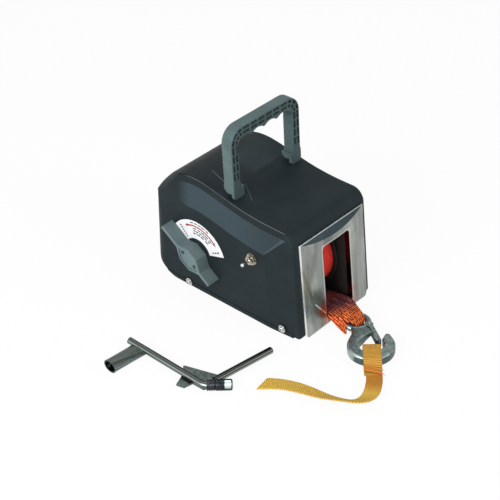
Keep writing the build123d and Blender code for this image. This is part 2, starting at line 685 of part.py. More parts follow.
def fairlead_plate():
    """Pressed steel front plate with returned sides and a slot with a deep collar."""
    behind = FRONT_X - 2 * PLATE_PROUD
    reach = FRONT_X + 4 * PLATE_LEAN
    whole = along_x(plate_sketch(PLATE_HALF_WIDTH, PLATE_BOTTOM_Z, PLATE_TOP_Z, PLATE_CORNER), behind, reach)
    hollow = along_x(
        plate_sketch(PLATE_HALF_WIDTH - PLATE_THICKNESS, PLATE_BOTTOM_Z + PLATE_THICKNESS, PLATE_TOP_Z + 1,
                     PLATE_CORNER - PLATE_THICKNESS), behind, reach)
    slot = Pos(SLOT_Y, 0) * plate_sketch(SLOT_HALF_WIDTH, SLOT_BOTTOM_Z, SLOT_TOP_Z, SLOT_CORNER, SLOT_CORNER)
    collar = Pos(SLOT_Y, 0) * plate_sketch(
        SLOT_HALF_WIDTH + LIP_WALL, SLOT_BOTTOM_Z - LIP_WALL, SLOT_TOP_Z + LIP_WALL,
        SLOT_CORNER + LIP_WALL, SLOT_CORNER + LIP_WALL)
    plate = whole & bowed_block(0) & leaning_slab(2 * PLATE_BOW, -PLATE_PROUD)
    plate -= (hollow & bowed_block(PLATE_THICKNESS)) - along_x(collar, behind, reach)
    plate -= along_x(slot, behind, reach)
    mouth = plate.edges().filter_by(lambda e: on_slot_mouth(e.center()))
    return fillet(mouth, LIP_ROUND)


def on_slot_mouth(point):
    """Whether a point lies on the front edge of the fairlead slot."""
    near_front = abs(point.X - plate_front_x(point.Z) - plate_bow(point.Y)) < 0.4
    inside_y = abs(point.Y - SLOT_Y) < SLOT_HALF_WIDTH + 0.1
    return near_front and inside_y and SLOT_BOTTOM_Z - 0.1 < point.Z < SLOT_TOP_Z + 0.1


def frame_front_x(z):
    """Front edge of a frame plate, just behind the bowed fairlead plate."""
    bow = plate_bow(FRAME_INNER_Y + FRAME_THICKNESS)
    return plate_front_x(z) + bow - PLATE_THICKNESS - FRAME_FRONT_GAP


def foot_screw_y():
    """Distance of the frame foot screws from the middle plane."""
    return FRAME_INNER_Y + FRAME_THICKNESS + FRAME_FOOT / 2


def gear_frame():
    """Gear-side frame plate: carries drum, gear shafts, motor and fork guide."""
    face = outline([
        (GEAR_FRAME_REAR_X, GEAR_FRAME_HEEL_Z),
        (PAN_REAR_X + 2, PAN_THICKNESS),
        (PAN_FRONT_X - 2, PAN_THICKNESS),
        (PAN_FRONT_X - 2, APERTURE_BOTTOM_Z + 1),
        (frame_front_x(APERTURE_BOTTOM_Z + 1), APERTURE_BOTTOM_Z + 1),
        (frame_front_x(FRAME_TOP_Z - 2), FRAME_TOP_Z - 2),
        (0, GEAR_FRAME_TOP_Z),
        (GEAR_FRAME_REAR_X + GEAR_FRAME_SHOULDER, GEAR_FRAME_TOP_Z),
        (GEAR_FRAME_REAR_X, CLUTCH[1] + 10),
    ])
    plate = prism_y(face, GEAR_Y, GEAR_Y + FRAME_THICKNESS)
    foot_end = GEAR_Y - FRAME_FOOT
    plate += block(PAN_REAR_X, PAN_FRONT_X - 2, foot_end, GEAR_Y,
                   PAN_THICKNESS, PAN_THICKNESS + FRAME_THICKNESS)
    plate -= rod_y(DRUM_BUSH_DIAMETER, DRUM, GEAR_Y, -FRAME_INNER_Y)
    for place in (MIDDLE, CLUTCH):
        plate -= rod_y(GEAR_SHAFT_DIAMETER, place, GEAR_Y, -FRAME_INNER_Y)
    plate -= rod_y(2 * MOTOR_PILOT_RADIUS, MOTOR, GEAR_Y, -FRAME_INNER_Y)
    plate -= rod_y(GUIDE_DIAMETER, (GUIDE_X, GUIDE_Z), GEAR_Y, -FRAME_INNER_Y)
    for place in TIE_ROD_PLACES + PILLAR_PLACES:
        plate -= rod_y(FRAME_SCREW_DIAMETER, place, GEAR_Y, -FRAME_INNER_Y)
    for place in motor_screw_places():
        plate -= rod_y(FRAME_SCREW_DIAMETER, place, GEAR_Y, -FRAME_INNER_Y)
    for x in GEAR_FOOT_SCREW_X:
        plate -= rod_z(FRAME_SCREW_DIAMETER, x, -foot_screw_y(),
                       PAN_THICKNESS, PAN_THICKNESS + FRAME_THICKNESS)
    return plate


def motor_frame():
    """Frame plate on the other side of the drum."""
    inner, outer = FRAME_INNER_Y, FRAME_INNER_Y + FRAME_THICKNESS
    face = outline([
        (MOTOR_FRAME_REAR_X, PAN_THICKNESS),
        (PAN_FRONT_X - 2, PAN_THICKNESS),
        (PAN_FRONT_X - 2, APERTURE_BOTTOM_Z + 1),
        (frame_front_x(APERTURE_BOTTOM_Z + 1), APERTURE_BOTTOM_Z + 1),
        (frame_front_x(FRAME_TOP_Z - 2), FRAME_TOP_Z - 2),
        (MOTOR_FRAME_REAR_X, FRAME_TOP_Z),
    ])
    plate = prism_y(face, inner, outer)
    plate += block(MOTOR_FRAME_REAR_X, PAN_FRONT_X - 2, outer, outer + FRAME_FOOT,
                   PAN_THICKNESS, PAN_THICKNESS + FRAME_THICKNESS)
    plate -= rod_y(DRUM_BUSH_DIAMETER, DRUM, inner, outer)
    for place in TIE_ROD_PLACES:
        plate -= rod_y(FRAME_SCREW_DIAMETER, place, inner, outer)
    for x in MOTOR_FOOT_SCREW_X:
        plate -= rod_z(FRAME_SCREW_DIAMETER, x, foot_screw_y(),
                       PAN_THICKNESS, PAN_THICKNESS + FRAME_THICKNESS)
    return plate


def tie_rods():
    """Round spacers between the two frame plates."""
    return Compound([
        rod_y(TIE_ROD_DIAMETER, place, -FRAME_INNER_Y, FRAME_INNER_Y)
        - rod_y(FRAME_SCREW_DIAMETER, place, -FRAME_INNER_Y, -FRAME_INNER_Y + TIE_ROD_DIAMETER)
        - rod_y(FRAME_SCREW_DIAMETER, place, FRAME_INNER_Y - TIE_ROD_DIAMETER, FRAME_INNER_Y)
        for place in TIE_ROD_PLACES
    ])


def frame_pillars():
    """Spacers between the gear-side frame and the carrier plate."""
    return Compound([
        rod_y(PILLAR_DIAMETER, place, CARRIER_Y, GEAR_Y)
        - rod_y(FRAME_SCREW_DIAMETER, place, CARRIER_Y, CARRIER_Y + PILLAR_DIAMETER)
        - rod_y(FRAME_SCREW_DIAMETER, place, GEAR_Y - PILLAR_DIAMETER, GEAR_Y)
        for place in PILLAR_PLACES
    ])


def carrier_plate():
    """Outer plate that holds the far ends of the gear shafts."""
    rounds = [disc(place, PILLAR_DIAMETER + 2 * CARRIER_RIM) for place in PILLAR_PLACES]
    rounds += [disc(place, CARRIER_BOSS) for place in (MIDDLE, CLUTCH, KNOB, (GUIDE_X, GUIDE_Z))]
    face = make_hull([edge for round_face in rounds for edge in round_face.edges()])
    plate = prism_y(face, CARRIER_Y - CARRIER_THICKNESS, CARRIER_Y)
    for place in (MIDDLE, CLUTCH):
        plate -= rod_y(GEAR_SHAFT_DIAMETER, place, CARRIER_Y - CARRIER_THICKNESS, CARRIER_Y)
    plate -= rod_y(SPINDLE_DIAMETER + 2 * RUNNING_CLEARANCE, KNOB, CARRIER_Y - CARRIER_THICKNESS, CARRIER_Y)
    plate -= rod_y(GUIDE_DIAMETER, (GUIDE_X, GUIDE_Z), CARRIER_Y - CARRIER_THICKNESS, CARRIER_Y)
    for place in PILLAR_PLACES:
        plate -= rod_y(FRAME_SCREW_DIAMETER, place, CARRIER_Y - CARRIER_THICKNESS, CARRIER_Y)
    return plate


def motor_screw_places():
    """The two screws that hold the motor's front to the frame, clear of the gear above."""
    return [polar(MOTOR, side * MOTOR_SCREW_RADIUS, MOTOR_SCREW_ANGLE) for side in (-1, 1)]


def capped_screw_y(place, y_seat, y_end):
    """Screw along Y, its head outside the seat and its stem running to y_end."""
    out = 1 if y_seat > y_end else -1
    stem = rod_y(FRAME_SCREW_DIAMETER, place, y_seat, y_end)
    return stem + rod_y(FRAME_SCREW_HEAD, place, y_seat, y_seat + out * FRAME_SCREW_HEAD_HEIGHT)


def frame_screws():
    """Screws through the frame plates into the tie rods, and down through the feet into the pan."""
    screws = []
    for place in TIE_ROD_PLACES:
        screws.append(capped_screw_y(place, GEAR_Y, -FRAME_INNER_Y + TIE_ROD_DIAMETER))
        seat = FRAME_INNER_Y + FRAME_THICKNESS
        screws.append(capped_screw_y(place, seat, FRAME_INNER_Y - TIE_ROD_DIAMETER))
    for side, stations in ((-1, GEAR_FOOT_SCREW_X), (1, MOTOR_FOOT_SCREW_X)):
        for x in stations:
            top = PAN_THICKNESS + FRAME_THICKNESS
            y = side * foot_screw_y()
            stem = rod_z(FRAME_SCREW_DIAMETER, x, y, 0, top)
            screws.append(stem + rod_z(FRAME_SCREW_HEAD, x, y, top, top + FRAME_SCREW_HEAD_HEIGHT))
    return Compound(screws)


def pillar_screws():
    """Screws through the frame plate into the inner ends of the pillars, and flush ones in the carrier."""
    screws = []
    for place in PILLAR_PLACES:
        screws.append(capped_screw_y(place, -FRAME_INNER_Y, GEAR_Y - PILLAR_DIAMETER))
        start = CARRIER_Y - CARRIER_THICKNESS
        screws.append(rod_y(FRAME_SCREW_DIAMETER, place, start, CARRIER_Y + PILLAR_DIAMETER))
    return Compound(screws)


def involute(angle):
    """Involute function of a pressure angle in radians."""
    return math.tan(angle) - angle


def gear_face(module, teeth, phase):
    """Spur gear outline with a tooth at the phase angle, in degrees."""
    pitch = module * teeth / 2
    pressure = math.radians(PRESSURE_ANGLE)
    base = pitch * math.cos(pressure)
    tip = pitch + GEAR_ADDENDUM * module
    root = pitch - GEAR_DEDENDUM * module
    half_tooth = math.pi / (2 * teeth) - GEAR_BACKLASH / (2 * pitch)
    start = max(root, base)
    flank = [start + (tip - start) * share for share in (0.0, 0.35, 0.7, 1.0)]
    half_angles = [half_tooth + involute(pressure) - involute(math.acos(base / r)) for r in flank]
    points = []
    for k in range(teeth):
        middle = math.radians(phase) + 2 * math.pi * k / teeth
        rise = [(r, middle - a) for r, a in zip(flank, half_angles)]
        fall = [(r, middle + a) for r, a in zip(reversed(flank), reversed(half_angles))]
        foot = [(root, middle - half_angles[0])] if root < start - 0.01 else []
        heel = [(root, middle + half_angles[0])] if root < start - 0.01 else []
        for r, angle in foot + rise + fall + heel:
            points.append((r * math.cos(angle), r * math.sin(angle)))
    return outline(points)


def gear(module, teeth, place, y0, y1, phase):
    """Solid spur gear along Y."""
    return Pos(place[0], 0, place[1]) * prism_y(gear_face(module, teeth, phase), y0, y1)


def gap_phase(teeth, degrees):
    """Phase that puts a gap between teeth at an angle."""
    return degrees + 180.0 / teeth


def drum_gear():
    """Large gear on the drum shaft; one tooth points at the middle gear."""
    wheel = gear(LOW_MODULE, DRUM_GEAR_TEETH, DRUM, LOW_Y - LOW_FACE, LOW_Y, MIDDLE_GEAR_ANGLE)
    for k in range(DRUM_GEAR_HOLE_COUNT):
        place = polar(DRUM, DRUM_GEAR_HOLE_RADIUS, 360 * k / DRUM_GEAR_HOLE_COUNT)
        wheel -= rod_y(DRUM_GEAR_HOLE, place, LOW_Y - LOW_FACE, LOW_Y)
    return wheel - rod_y(DRUM_SHAFT_DIAMETER, DRUM, LOW_Y - LOW_FACE, LOW_Y)


def middle_gear():
    """Compound gear between the drum gear and the clutch gear."""
    face = WHEEL_Y - MIDDLE_FACE
    wheel = gear(MIDDLE_MODULE, MIDDLE_GEAR_TEETH, MIDDLE, face, WHEEL_Y, CLUTCH_GEAR_ANGLE)
    pinion_phase = gap_phase(PINION_TEETH, MIDDLE_GEAR_ANGLE + 180)
    pinion = gear(LOW_MODULE, PINION_TEETH, MIDDLE, LOW_Y - LOW_FACE, face, pinion_phase)
    bore = rod_y(GEAR_SHAFT_DIAMETER + 2 * RUNNING_CLEARANCE, MIDDLE, LOW_Y - LOW_FACE, WHEEL_Y)
    return wheel + pinion - bore


def clutch_gear():
    """Compound gear that slides along its shaft to free the drum."""
    pinion_phase = gap_phase(PINION_TEETH, CLUTCH_GEAR_ANGLE + 180)
    pinion = gear(MIDDLE_MODULE, PINION_TEETH, CLUTCH, WHEEL_Y - MIDDLE_FACE, WHEEL_Y, pinion_phase)
    neck = rod_y(2 * FORK_NECK_RADIUS, CLUTCH, CLUTCH_WHEEL_Y, WHEEL_Y - MIDDLE_FACE)
    outer = CLUTCH_WHEEL_Y - HIGH_FACE
    wheel = gear(HIGH_MODULE, CLUTCH_GEAR_TEETH, CLUTCH, outer, CLUTCH_WHEEL_Y, MOTOR_ANGLE)
    bore = rod_y(GEAR_SHAFT_DIAMETER + 2 * RUNNING_CLEARANCE, CLUTCH, outer, WHEEL_Y)
    return pinion + neck + wheel - bore


def gear_shafts():
    """Fixed shafts of the middle and clutch gears."""
    return Compound([
        rod_y(GEAR_SHAFT_DIAMETER, place, CARRIER_Y - CARRIER_THICKNESS, -FRAME_INNER_Y)
        for place in (MIDDLE, CLUTCH)
    ])


def drum_shaft():
    """Shaft through drum, bushes and drum gear."""
    return rod_y(DRUM_SHAFT_DIAMETER, DRUM, LOW_Y - LOW_FACE - 1, FRAME_INNER_Y + FRAME_THICKNESS + 2)


def drum_bushes():
    """Flanged plain bushes in the two frame plates."""
    bushes = []
    for side in (-1, 1):
        inner = side * (FRAME_INNER_Y - DRUM_BUSH_FLANGE_THICKNESS)
        bush = rod_y(DRUM_BUSH_DIAMETER, DRUM, inner, side * (FRAME_INNER_Y + FRAME_THICKNESS))
        bush += rod_y(DRUM_BUSH_FLANGE, DRUM, inner, side * FRAME_INNER_Y)
        bore = DRUM_SHAFT_DIAMETER + 2 * RUNNING_CLEARANCE
        bushes.append(bush - rod_y(bore, DRUM, inner, side * (FRAME_INNER_Y + FRAME_THICKNESS)))
    return Compound(bushes)


def drum_spool():
    """Hub with two flanges that the strap winds on."""
    half = STRAP_WIDTH / 2 + STRAP_SIDE_GAP
    outer = half + DRUM_FLANGE_THICKNESS
    spool = rod_y(2 * DRUM_HUB_RADIUS, DRUM, -outer, outer)
    for side in (-1, 1):
        spool += rod_y(2 * DRUM_FLANGE_RADIUS, DRUM, side * half, side * outer)
    return spool - rod_y(DRUM_SHAFT_DIAMETER, DRUM, -outer, outer)


def strap_core():
    """Inner turns of the webbing, tight on the hub, as one plain ring."""
    half = STRAP_WIDTH / 2
    return rod_y(2 * STRAP_CORE_RADIUS, DRUM, -half, half) - rod_y(2 * DRUM_HUB_RADIUS, DRUM, -half, half)


def strap_roll():
    """Outer turns of the webbing, as half-turn arcs whose centres step from side to side."""
    outer_edge, inner_edge = [], []
    radius = ROLL_START
    for k in range(2 * STRAP_TURNS):
        turn = 1 if k % 2 == 0 else -1
        centre_x = -turn * STRAP_PITCH / 4
        for edge, offset in ((outer_edge, STRAP_THICKNESS / 2), (inner_edge, -STRAP_THICKNESS / 2)):
            r = radius + offset
            ends = (centre_x + turn * r, 0), (centre_x - turn * r, 0)
            edge.append(ThreePointArc(ends[0], (centre_x, turn * r), ends[1]))
        radius += STRAP_PITCH / 2
    ends = [Line(outer_edge[0] @ 0, inner_edge[0] @ 0), Line(outer_edge[-1] @ 1, inner_edge[-1] @ 1)]
    print("strap roll: least gap between turns", round(roll_gap(outer_edge, inner_edge), 3), "mm")
    print("strap roll: outer radius", round(ROLL_OUTER, 2), "mm")
    face = make_face(outer_edge + inner_edge + ends)
    half = STRAP_WIDTH / 2
    return Pos(DRUM_X, 0, DRUM_Z) * prism_y(Rot(0, 0, ROLL_END_ANGLE) * face, -half, half)


def roll_gap(outer_edge, inner_edge):
    """Least distance from one turn's outer edge to the next turn's inner edge, on points."""
    least = STRAP_PITCH
    for turn, arc in enumerate(outer_edge[:-2]):
        following = [inner_edge[turn + 2] @ (j / 40) for j in range(41)]
        for k in range(11):
            point = arc @ (k / 10)
            least = min(least, min((point - other).length for other in following))
    return least


def strap_sections(stations):
    """Rectangles across a strap; each station is a middle point, a tilt, a half width and a thickness."""
    sections = []
    for k, (x, y, z, tilt, half, thick) in enumerate(stations):
        before = stations[max(k - 1, 0)]
        after = stations[min(k + 1, len(stations) - 1)]
        heading = Vector(after[0] - before[0], after[1] - before[1], after[2] - before[2]).normalized()
        level = Vector(0, 0, 1).cross(heading).normalized()
        plane = Plane(origin=(x, y, z), x_dir=level.rotate(Axis((0, 0, 0), heading), tilt), z_dir=heading)
        sections.append(plane * Rectangle(2 * half, thick))
    return sections


def strap_lead():
    """Strap from under the drum, out over the slot's lower lip, gathered and sewn round the hook eye."""
    start_z = DRUM_Z - ROLL_OUTER - LEAD_CLEARANCE - STRAP_THICKNESS / 2
    half = STRAP_WIDTH / 2
    stations = [(DRUM_X + LEAD_START, 0, start_z, 0, half, STRAP_THICKNESS)]
    for x, z in LEAD_FLAT:
        stations.append((x, 0, z, 0, half, STRAP_THICKNESS))
    for back, rise, half_width, thick in LEAD_GATHER:
        stations.append((HOOK_X - back, HOOK_Y, HOOK_Z + rise, 0, half_width, thick))
    lead = loft(strap_sections(stations), ruled=True)
    bar_x = HOOK_X - EYE_RADIUS
    sleeve = EYE_BAR / 2 + EYE_LOOP_GAP + STRAP_THICKNESS
    lead += rod_y(2 * sleeve, (bar_x, HOOK_Z), HOOK_Y - EYE_LOOP_HALF, HOOK_Y + EYE_LOOP_HALF)
    return lead - Pos(HOOK_X, HOOK_Y, HOOK_Z) * Torus(EYE_RADIUS, EYE_BAR / 2 + EYE_LOOP_GAP)


def radial_rod(place, degrees, r0, r1, diameter, y):
    """Cylinder pointing away from a Y axis."""
    middle = polar(place, (r0 + r1) / 2, degrees)
    return Pos(middle[0], y, middle[1]) * Rot(0, 90 - degrees, 0) * Cylinder(diameter / 2, r1 - r0)


def link(start, end, width):
    """Flat bar between two points of a sketch."""
    run = math.dist(start, end)
    turn = math.degrees(math.atan2(end[1] - start[1], end[0] - start[0]))
    return Pos((start[0] + end[0]) / 2, (start[1] + end[1]) / 2) * Rot(0, 0, turn) * Rectangle(run, width)


def disc(place, diameter):
    """Round face of a sketch."""
    return Pos(*place) * Circle(diameter / 2)


def motor_can():
    """Motor body: tube with a front wall and a pilot in the frame plate."""
    front = -FRAME_INNER_Y
    can = rod_y(2 * MOTOR_RADIUS, MOTOR, front, MOTOR_END_Y)
    can -= rod_y(2 * (MOTOR_RADIUS - MOTOR_WALL), MOTOR, front + MOTOR_FRONT_WALL, MOTOR_END_Y)
    can += rod_y(2 * MOTOR_PILOT_RADIUS, MOTOR, GEAR_Y, front)
    can -= rod_y(MOTOR_SHAFT_DIAMETER + 2 * RUNNING_CLEARANCE, MOTOR, GEAR_Y, front + MOTOR_FRONT_WALL)
    for place in motor_screw_places():
        can -= rod_y(FRAME_SCREW_DIAMETER, place, front, front + MOTOR_FRONT_WALL)
    return can


def motor_magnets():
    """Two curved magnets inside the motor body."""
    length = MOTOR_LENGTH - MOTOR_FRONT_WALL - 2 * MAGNET_END_GAP
    start = -FRAME_INNER_Y + MOTOR_FRONT_WALL + MAGNET_END_GAP
    outer = 2 * (MOTOR_RADIUS - MOTOR_WALL)
    ring = rod_y(outer, MOTOR, start, start + length)
    ring -= rod_y(outer - 2 * MAGNET_THICKNESS, MOTOR, start, start + length)
    slot = block(MOTOR[0] - MAGNET_SLOT, MOTOR[0] + MAGNET_SLOT, start, start + length, 0, CROWN_Z)
    return ring - slot


def motor_rotor():
    """Armature, shaft and the long pinion that drives the clutch gear."""
    shaft_end = MOTOR_END_Y + MOTOR_CAP_LENGTH + SOCKET_GAP + SOCKET_LENGTH - SOCKET_DEPTH
    tip = CARRIER_Y + PINION_END_GAP
    rotor = rod_y(MOTOR_SHAFT_DIAMETER, MOTOR, tip, shaft_end)
    armature = 2 * (MOTOR_RADIUS - MOTOR_WALL - MAGNET_THICKNESS - ARMATURE_GAP)
    start = -FRAME_INNER_Y + MOTOR_FRONT_WALL + MAGNET_END_GAP
    rotor += rod_y(armature, MOTOR, start, start + ARMATURE_LENGTH)
    phase = gap_phase(PINION_TEETH, MOTOR_ANGLE + 180)
    return rotor + gear(HIGH_MODULE, PINION_TEETH, MOTOR, tip, CLUTCH_WHEEL_Y + PINION_END_GAP, phase)


def motor_cap():
    """Rear cover of the motor with its shaft bearing."""
    end = MOTOR_END_Y + MOTOR_CAP_LENGTH
    cap = rod_y(2 * MOTOR_RADIUS, MOTOR, MOTOR_END_Y, MOTOR_END_Y + MOTOR_WALL)
    cap += rod_y(2 * (MOTOR_RADIUS - MOTOR_WALL), MOTOR, MOTOR_END_Y + MOTOR_WALL, end)
    return cap - rod_y(MOTOR_SHAFT_DIAMETER + 2 * RUNNING_CLEARANCE, MOTOR, MOTOR_END_Y, end)


def motor_screws():
    """Screws through the gear-side frame into the motor front."""
    return Compound([
        capped_screw_y(place, GEAR_Y, -FRAME_INNER_Y + MOTOR_FRONT_WALL) for place in motor_screw_places()
    ])


def motor_cradle():
    """Block on the pan that carries the rear of the motor."""
    half = CRADLE_WIDTH / 2
    y0, y1 = CRADLE_Y - CRADLE_LENGTH / 2, CRADLE_Y + CRADLE_LENGTH / 2
    cradle = block(MOTOR[0] - half, MOTOR[0] + half, y0, y1, PAN_THICKNESS, MOTOR[1])
    return cradle - rod_y(2 * MOTOR_RADIUS, MOTOR, y0, y1)


def crank_socket():
    """Socket for the hand crank on the rear end of the motor shaft."""
    start = MOTOR_END_Y + MOTOR_CAP_LENGTH + SOCKET_GAP
    end = start + SOCKET_LENGTH
    socket = rod_y(SOCKET_DIAMETER, MOTOR, start, end)
    socket -= rod_y(MOTOR_SHAFT_DIAMETER, MOTOR, start, end - SOCKET_DEPTH)
    return socket - rod_y(SOCKET_BORE, MOTOR, end - SOCKET_DEPTH, end)


def knob_face():
    """Front outline of the clutch knob: narrow blades on a wide six-sided hub."""
    blade = KNOB_BLADE / 2
    hub = KNOB_HUB_WIDTH / 2
    shoulder = KNOB_HUB_LENGTH / 2
    flat = KNOB_HUB_FLAT / 2
    upper = [(KNOB_POINTER, blade), (shoulder, blade), (flat, hub), (-flat, hub), (-shoulder, blade),
             (-KNOB_TAIL, blade)]
    lower = [(a, -b) for a, b in reversed(upper)]
    return outline(upper + lower)


def turned_knob(face, y0, y1):
    """Sketch in the knob's own axes, made solid at its place and rest angle."""
    return Pos(KNOB_X, 0, KNOB_Z) * prism_y(Rot(0, 0, KNOB_REST_ANGLE) * face, y0, y1)


def knob_screw_places():
    """Places of the two knob screws, along the pointer."""
    return [polar(KNOB, side * KNOB_SCREW_SPACING / 2, KNOB_REST_ANGLE) for side in (-1, 1)]


def clutch_knob():
    """Pointer knob with a sunk hub face and two screw holes."""
    back = -SIDE_HALF_WIDTH - KNOB_GAP
    front = back - KNOB_HEIGHT
    seat = back - SPINDLE_FLANGE_THICKNESS
    knob = turned_knob(knob_face(), front, back)
    rims = knob.edges().filter_by(lambda e: abs(e.center().Y - front) < 0.01)
    knob = fillet(rims, KNOB_ROUND)
    hub = outline([(a * KNOB_HUB_FLAT / 2 + b * KNOB_HUB_LENGTH / 2, c * (KNOB_HUB_WIDTH / 2))
                   for a, b, c in ((1, 0, 1), (-1, 0, 1), (0, -1, 0), (-1, 0, -1), (1, 0, -1), (0, 1, 0))])
    knob -= turned_knob(offset(hub, amount=-KNOB_RIM, kind=Kind.INTERSECTION), front, front + KNOB_RECESS)
    knob -= turned_knob(Rectangle(SPINDLE_FLANGE_LENGTH, SPINDLE_DIAMETER), seat, back)
    for place in knob_screw_places():
        knob -= rod_y(KNOB_SCREW_HEAD + 0.4, place, front, seat - KNOB_SCREW_GRIP)
        knob -= rod_y(KNOB_SCREW_DIAMETER, place, seat - KNOB_SCREW_GRIP, seat)
    return knob


def knob_screws():
    """Screws that hold the knob to the spindle's flange."""
    back = -SIDE_HALF_WIDTH - KNOB_GAP
    seat = back - SPINDLE_FLANGE_THICKNESS - KNOB_SCREW_GRIP
    screws = []
    for place in knob_screw_places():
        stem = rod_y(KNOB_SCREW_DIAMETER, place, seat, back)
        screws.append(stem + rod_y(KNOB_SCREW_HEAD, place, seat - KNOB_SCREW_HEAD / 2, seat))
    return Compound(screws)


def fork_middle_y():
    """Middle plane of the shift fork with the clutch in."""
    return WHEEL_Y - MIDDLE_FACE - FORK_SIDE_GAP - FORK_THICKNESS / 2


def clutch_spindle():
    """Knob spindle with a flange under the knob and a cam whose groove moves the fork."""
    back = -SIDE_HALF_WIDTH - KNOB_GAP
    front = back - SPINDLE_FLANGE_THICKNESS
    flange = turned_knob(Rectangle(SPINDLE_FLANGE_LENGTH, SPINDLE_DIAMETER), front, back)
    for place in knob_screw_places():
        flange -= rod_y(KNOB_SCREW_DIAMETER, place, front, back)
    cam_start = CARRIER_Y + CAM_END_GAP
    spindle = flange + rod_y(SPINDLE_DIAMETER, KNOB, back, cam_start)
    cam = rod_y(SPINDLE_CAM_DIAMETER, KNOB, cam_start, fork_middle_y() + 2 * FORK_THICKNESS)
    outer = SPINDLE_CAM_DIAMETER / 2
    for k in range(CAM_STEP_COUNT):
        share = k / (CAM_STEP_COUNT - 1)
        y = fork_middle_y() - CLUTCH_TRAVEL * share
        degrees = FORK_PIN_ANGLE + KNOB_TURN * share
        cam -= radial_rod(KNOB, degrees, outer - CAM_GROOVE_DEPTH, outer + 1, CAM_GROOVE, y)
    return spindle + cam


def shift_fork():
    """Flat fork round the clutch gear's neck, with a pin in the cam groove."""
    guide = (GUIDE_X, GUIDE_Z)
    cam_hole = SPINDLE_CAM_DIAMETER + 2 * FORK_CLEARANCE
    neck = 2 * (FORK_NECK_RADIUS + FORK_CLEARANCE)
    guide_hole = GUIDE_DIAMETER + 2 * RUNNING_CLEARANCE
    open_end = polar(CLUTCH, 2 * neck, math.degrees(math.atan2(CLUTCH[1] - KNOB_Z, CLUTCH[0] - KNOB_X)))
    face = link(KNOB, CLUTCH, neck) + link(KNOB, guide, guide_hole + 2 * FORK_RIM)
    face += disc(KNOB, cam_hole + 2 * FORK_RIM) + disc(CLUTCH, neck + 2 * FORK_RIM)
    face += disc(guide, guide_hole + 2 * FORK_RIM)
    face = face - disc(KNOB, cam_hole) - disc(guide, guide_hole)
    face = face - disc(CLUTCH, neck) - link(CLUTCH, open_end, neck)
    middle = fork_middle_y()
    fork = prism_y(face, middle - FORK_THICKNESS / 2, middle + FORK_THICKNESS / 2)
    inner = SPINDLE_CAM_DIAMETER / 2 - CAM_GROOVE_DEPTH + FORK_CLEARANCE
    outer = cam_hole / 2 + FORK_RIM / 2
    return fork + radial_rod(KNOB, FORK_PIN_ANGLE, inner, outer, FORK_PIN_DIAMETER, middle)


def fork_guide():
    """Rod between frame and carrier that the fork slides on."""
    return rod_y(GUIDE_DIAMETER, (GUIDE_X, GUIDE_Z), CARRIER_Y - CARRIER_THICKNESS, -FRAME_INNER_Y)


def clutch_decal():
    """Thin curved label round the knob."""
    middle = math.radians(DECAL_START + DECAL_SWEEP / 2)
    wedge = outline([
        KNOB,
        polar(KNOB, 2 * DECAL_OUTER, DECAL_START),
        polar(KNOB, 3 * DECAL_OUTER, math.degrees(middle)),
        polar(KNOB, 2 * DECAL_OUTER, DECAL_START + DECAL_SWEEP),
    ])
    ring = disc(KNOB, 2 * DECAL_OUTER) - disc(KNOB, 2 * DECAL_INNER)
    return prism_y(ring & wedge, -SIDE_HALF_WIDTH - DECAL_THICKNESS, -SIDE_HALF_WIDTH)


def switch_body():
    """Switch block behind the side wall, with its threaded bush."""
    place = (SWITCH_X, SWITCH_Z)
    wide, deep, tall = SWITCH_BODY
    wall = -SIDE_HALF_WIDTH + SHELL_WALL
    front = -SIDE_HALF_WIDTH - SWITCH_BUSH_PROUD
    body = block(SWITCH_X - wide / 2, SWITCH_X + wide / 2, wall, wall + deep,
                 SWITCH_Z - tall / 2, SWITCH_Z + tall / 2)
    body += rod_y(SWITCH_BUSH_DIAMETER, place, front, wall)
    return body - rod_y(SWITCH_PIVOT_DIAMETER + 2 * RUNNING_CLEARANCE, place, front, wall)


def switch_nut():
    """Washer and six-sided nut on the switch bush."""
    place = (SWITCH_X, SWITCH_Z)
    seat = -SIDE_HALF_WIDTH
    nut_seat = seat - WASHER_THICKNESS
    washer = rod_y(SWITCH_WASHER_DIAMETER, place, nut_seat, seat)
    six = RegularPolygon(SWITCH_NUT_FLATS / 2, 6, major_radius=False)
    nut = Pos(SWITCH_X, 0, SWITCH_Z) * prism_y(six, nut_seat - SWITCH_NUT_THICKNESS, nut_seat)
    return washer + nut - rod_y(SWITCH_BUSH_DIAMETER, place, nut_seat - SWITCH_NUT_THICKNESS, seat)


def switch_lever():
    """Toggle with a ball tip and a round pivot inside the bush."""
    place = (SWITCH_X, SWITCH_Z)
    pivot = -SIDE_HALF_WIDTH - SWITCH_BUSH_PROUD + SWITCH_PIVOT_DEPTH
    tip = -SIDE_HALF_WIDTH - SWITCH_LEVER_LENGTH
    lever = Pos(SWITCH_X, pivot, SWITCH_Z) * Sphere(SWITCH_PIVOT_DIAMETER / 2)
    lever += rod_y(SWITCH_LEVER_DIAMETER, place, tip, pivot)
    return lever + Pos(SWITCH_X, tip, SWITCH_Z) * Sphere(SWITCH_BALL_DIAMETER / 2)


def bow_outline(inset, bar_inset, low):
    """Arch in Y and Z, drawn in from the outside of the handle."""
    half = HANDLE_HALF_WIDTH - inset
    top = HANDLE_TOP_Z - bar_inset
    face = outline([(half, low), (half, top), (-half, top), (-half, low)])
    return fillet([corner(face, half, top), corner(face, -half, top)], HANDLE_CORNER - inset)


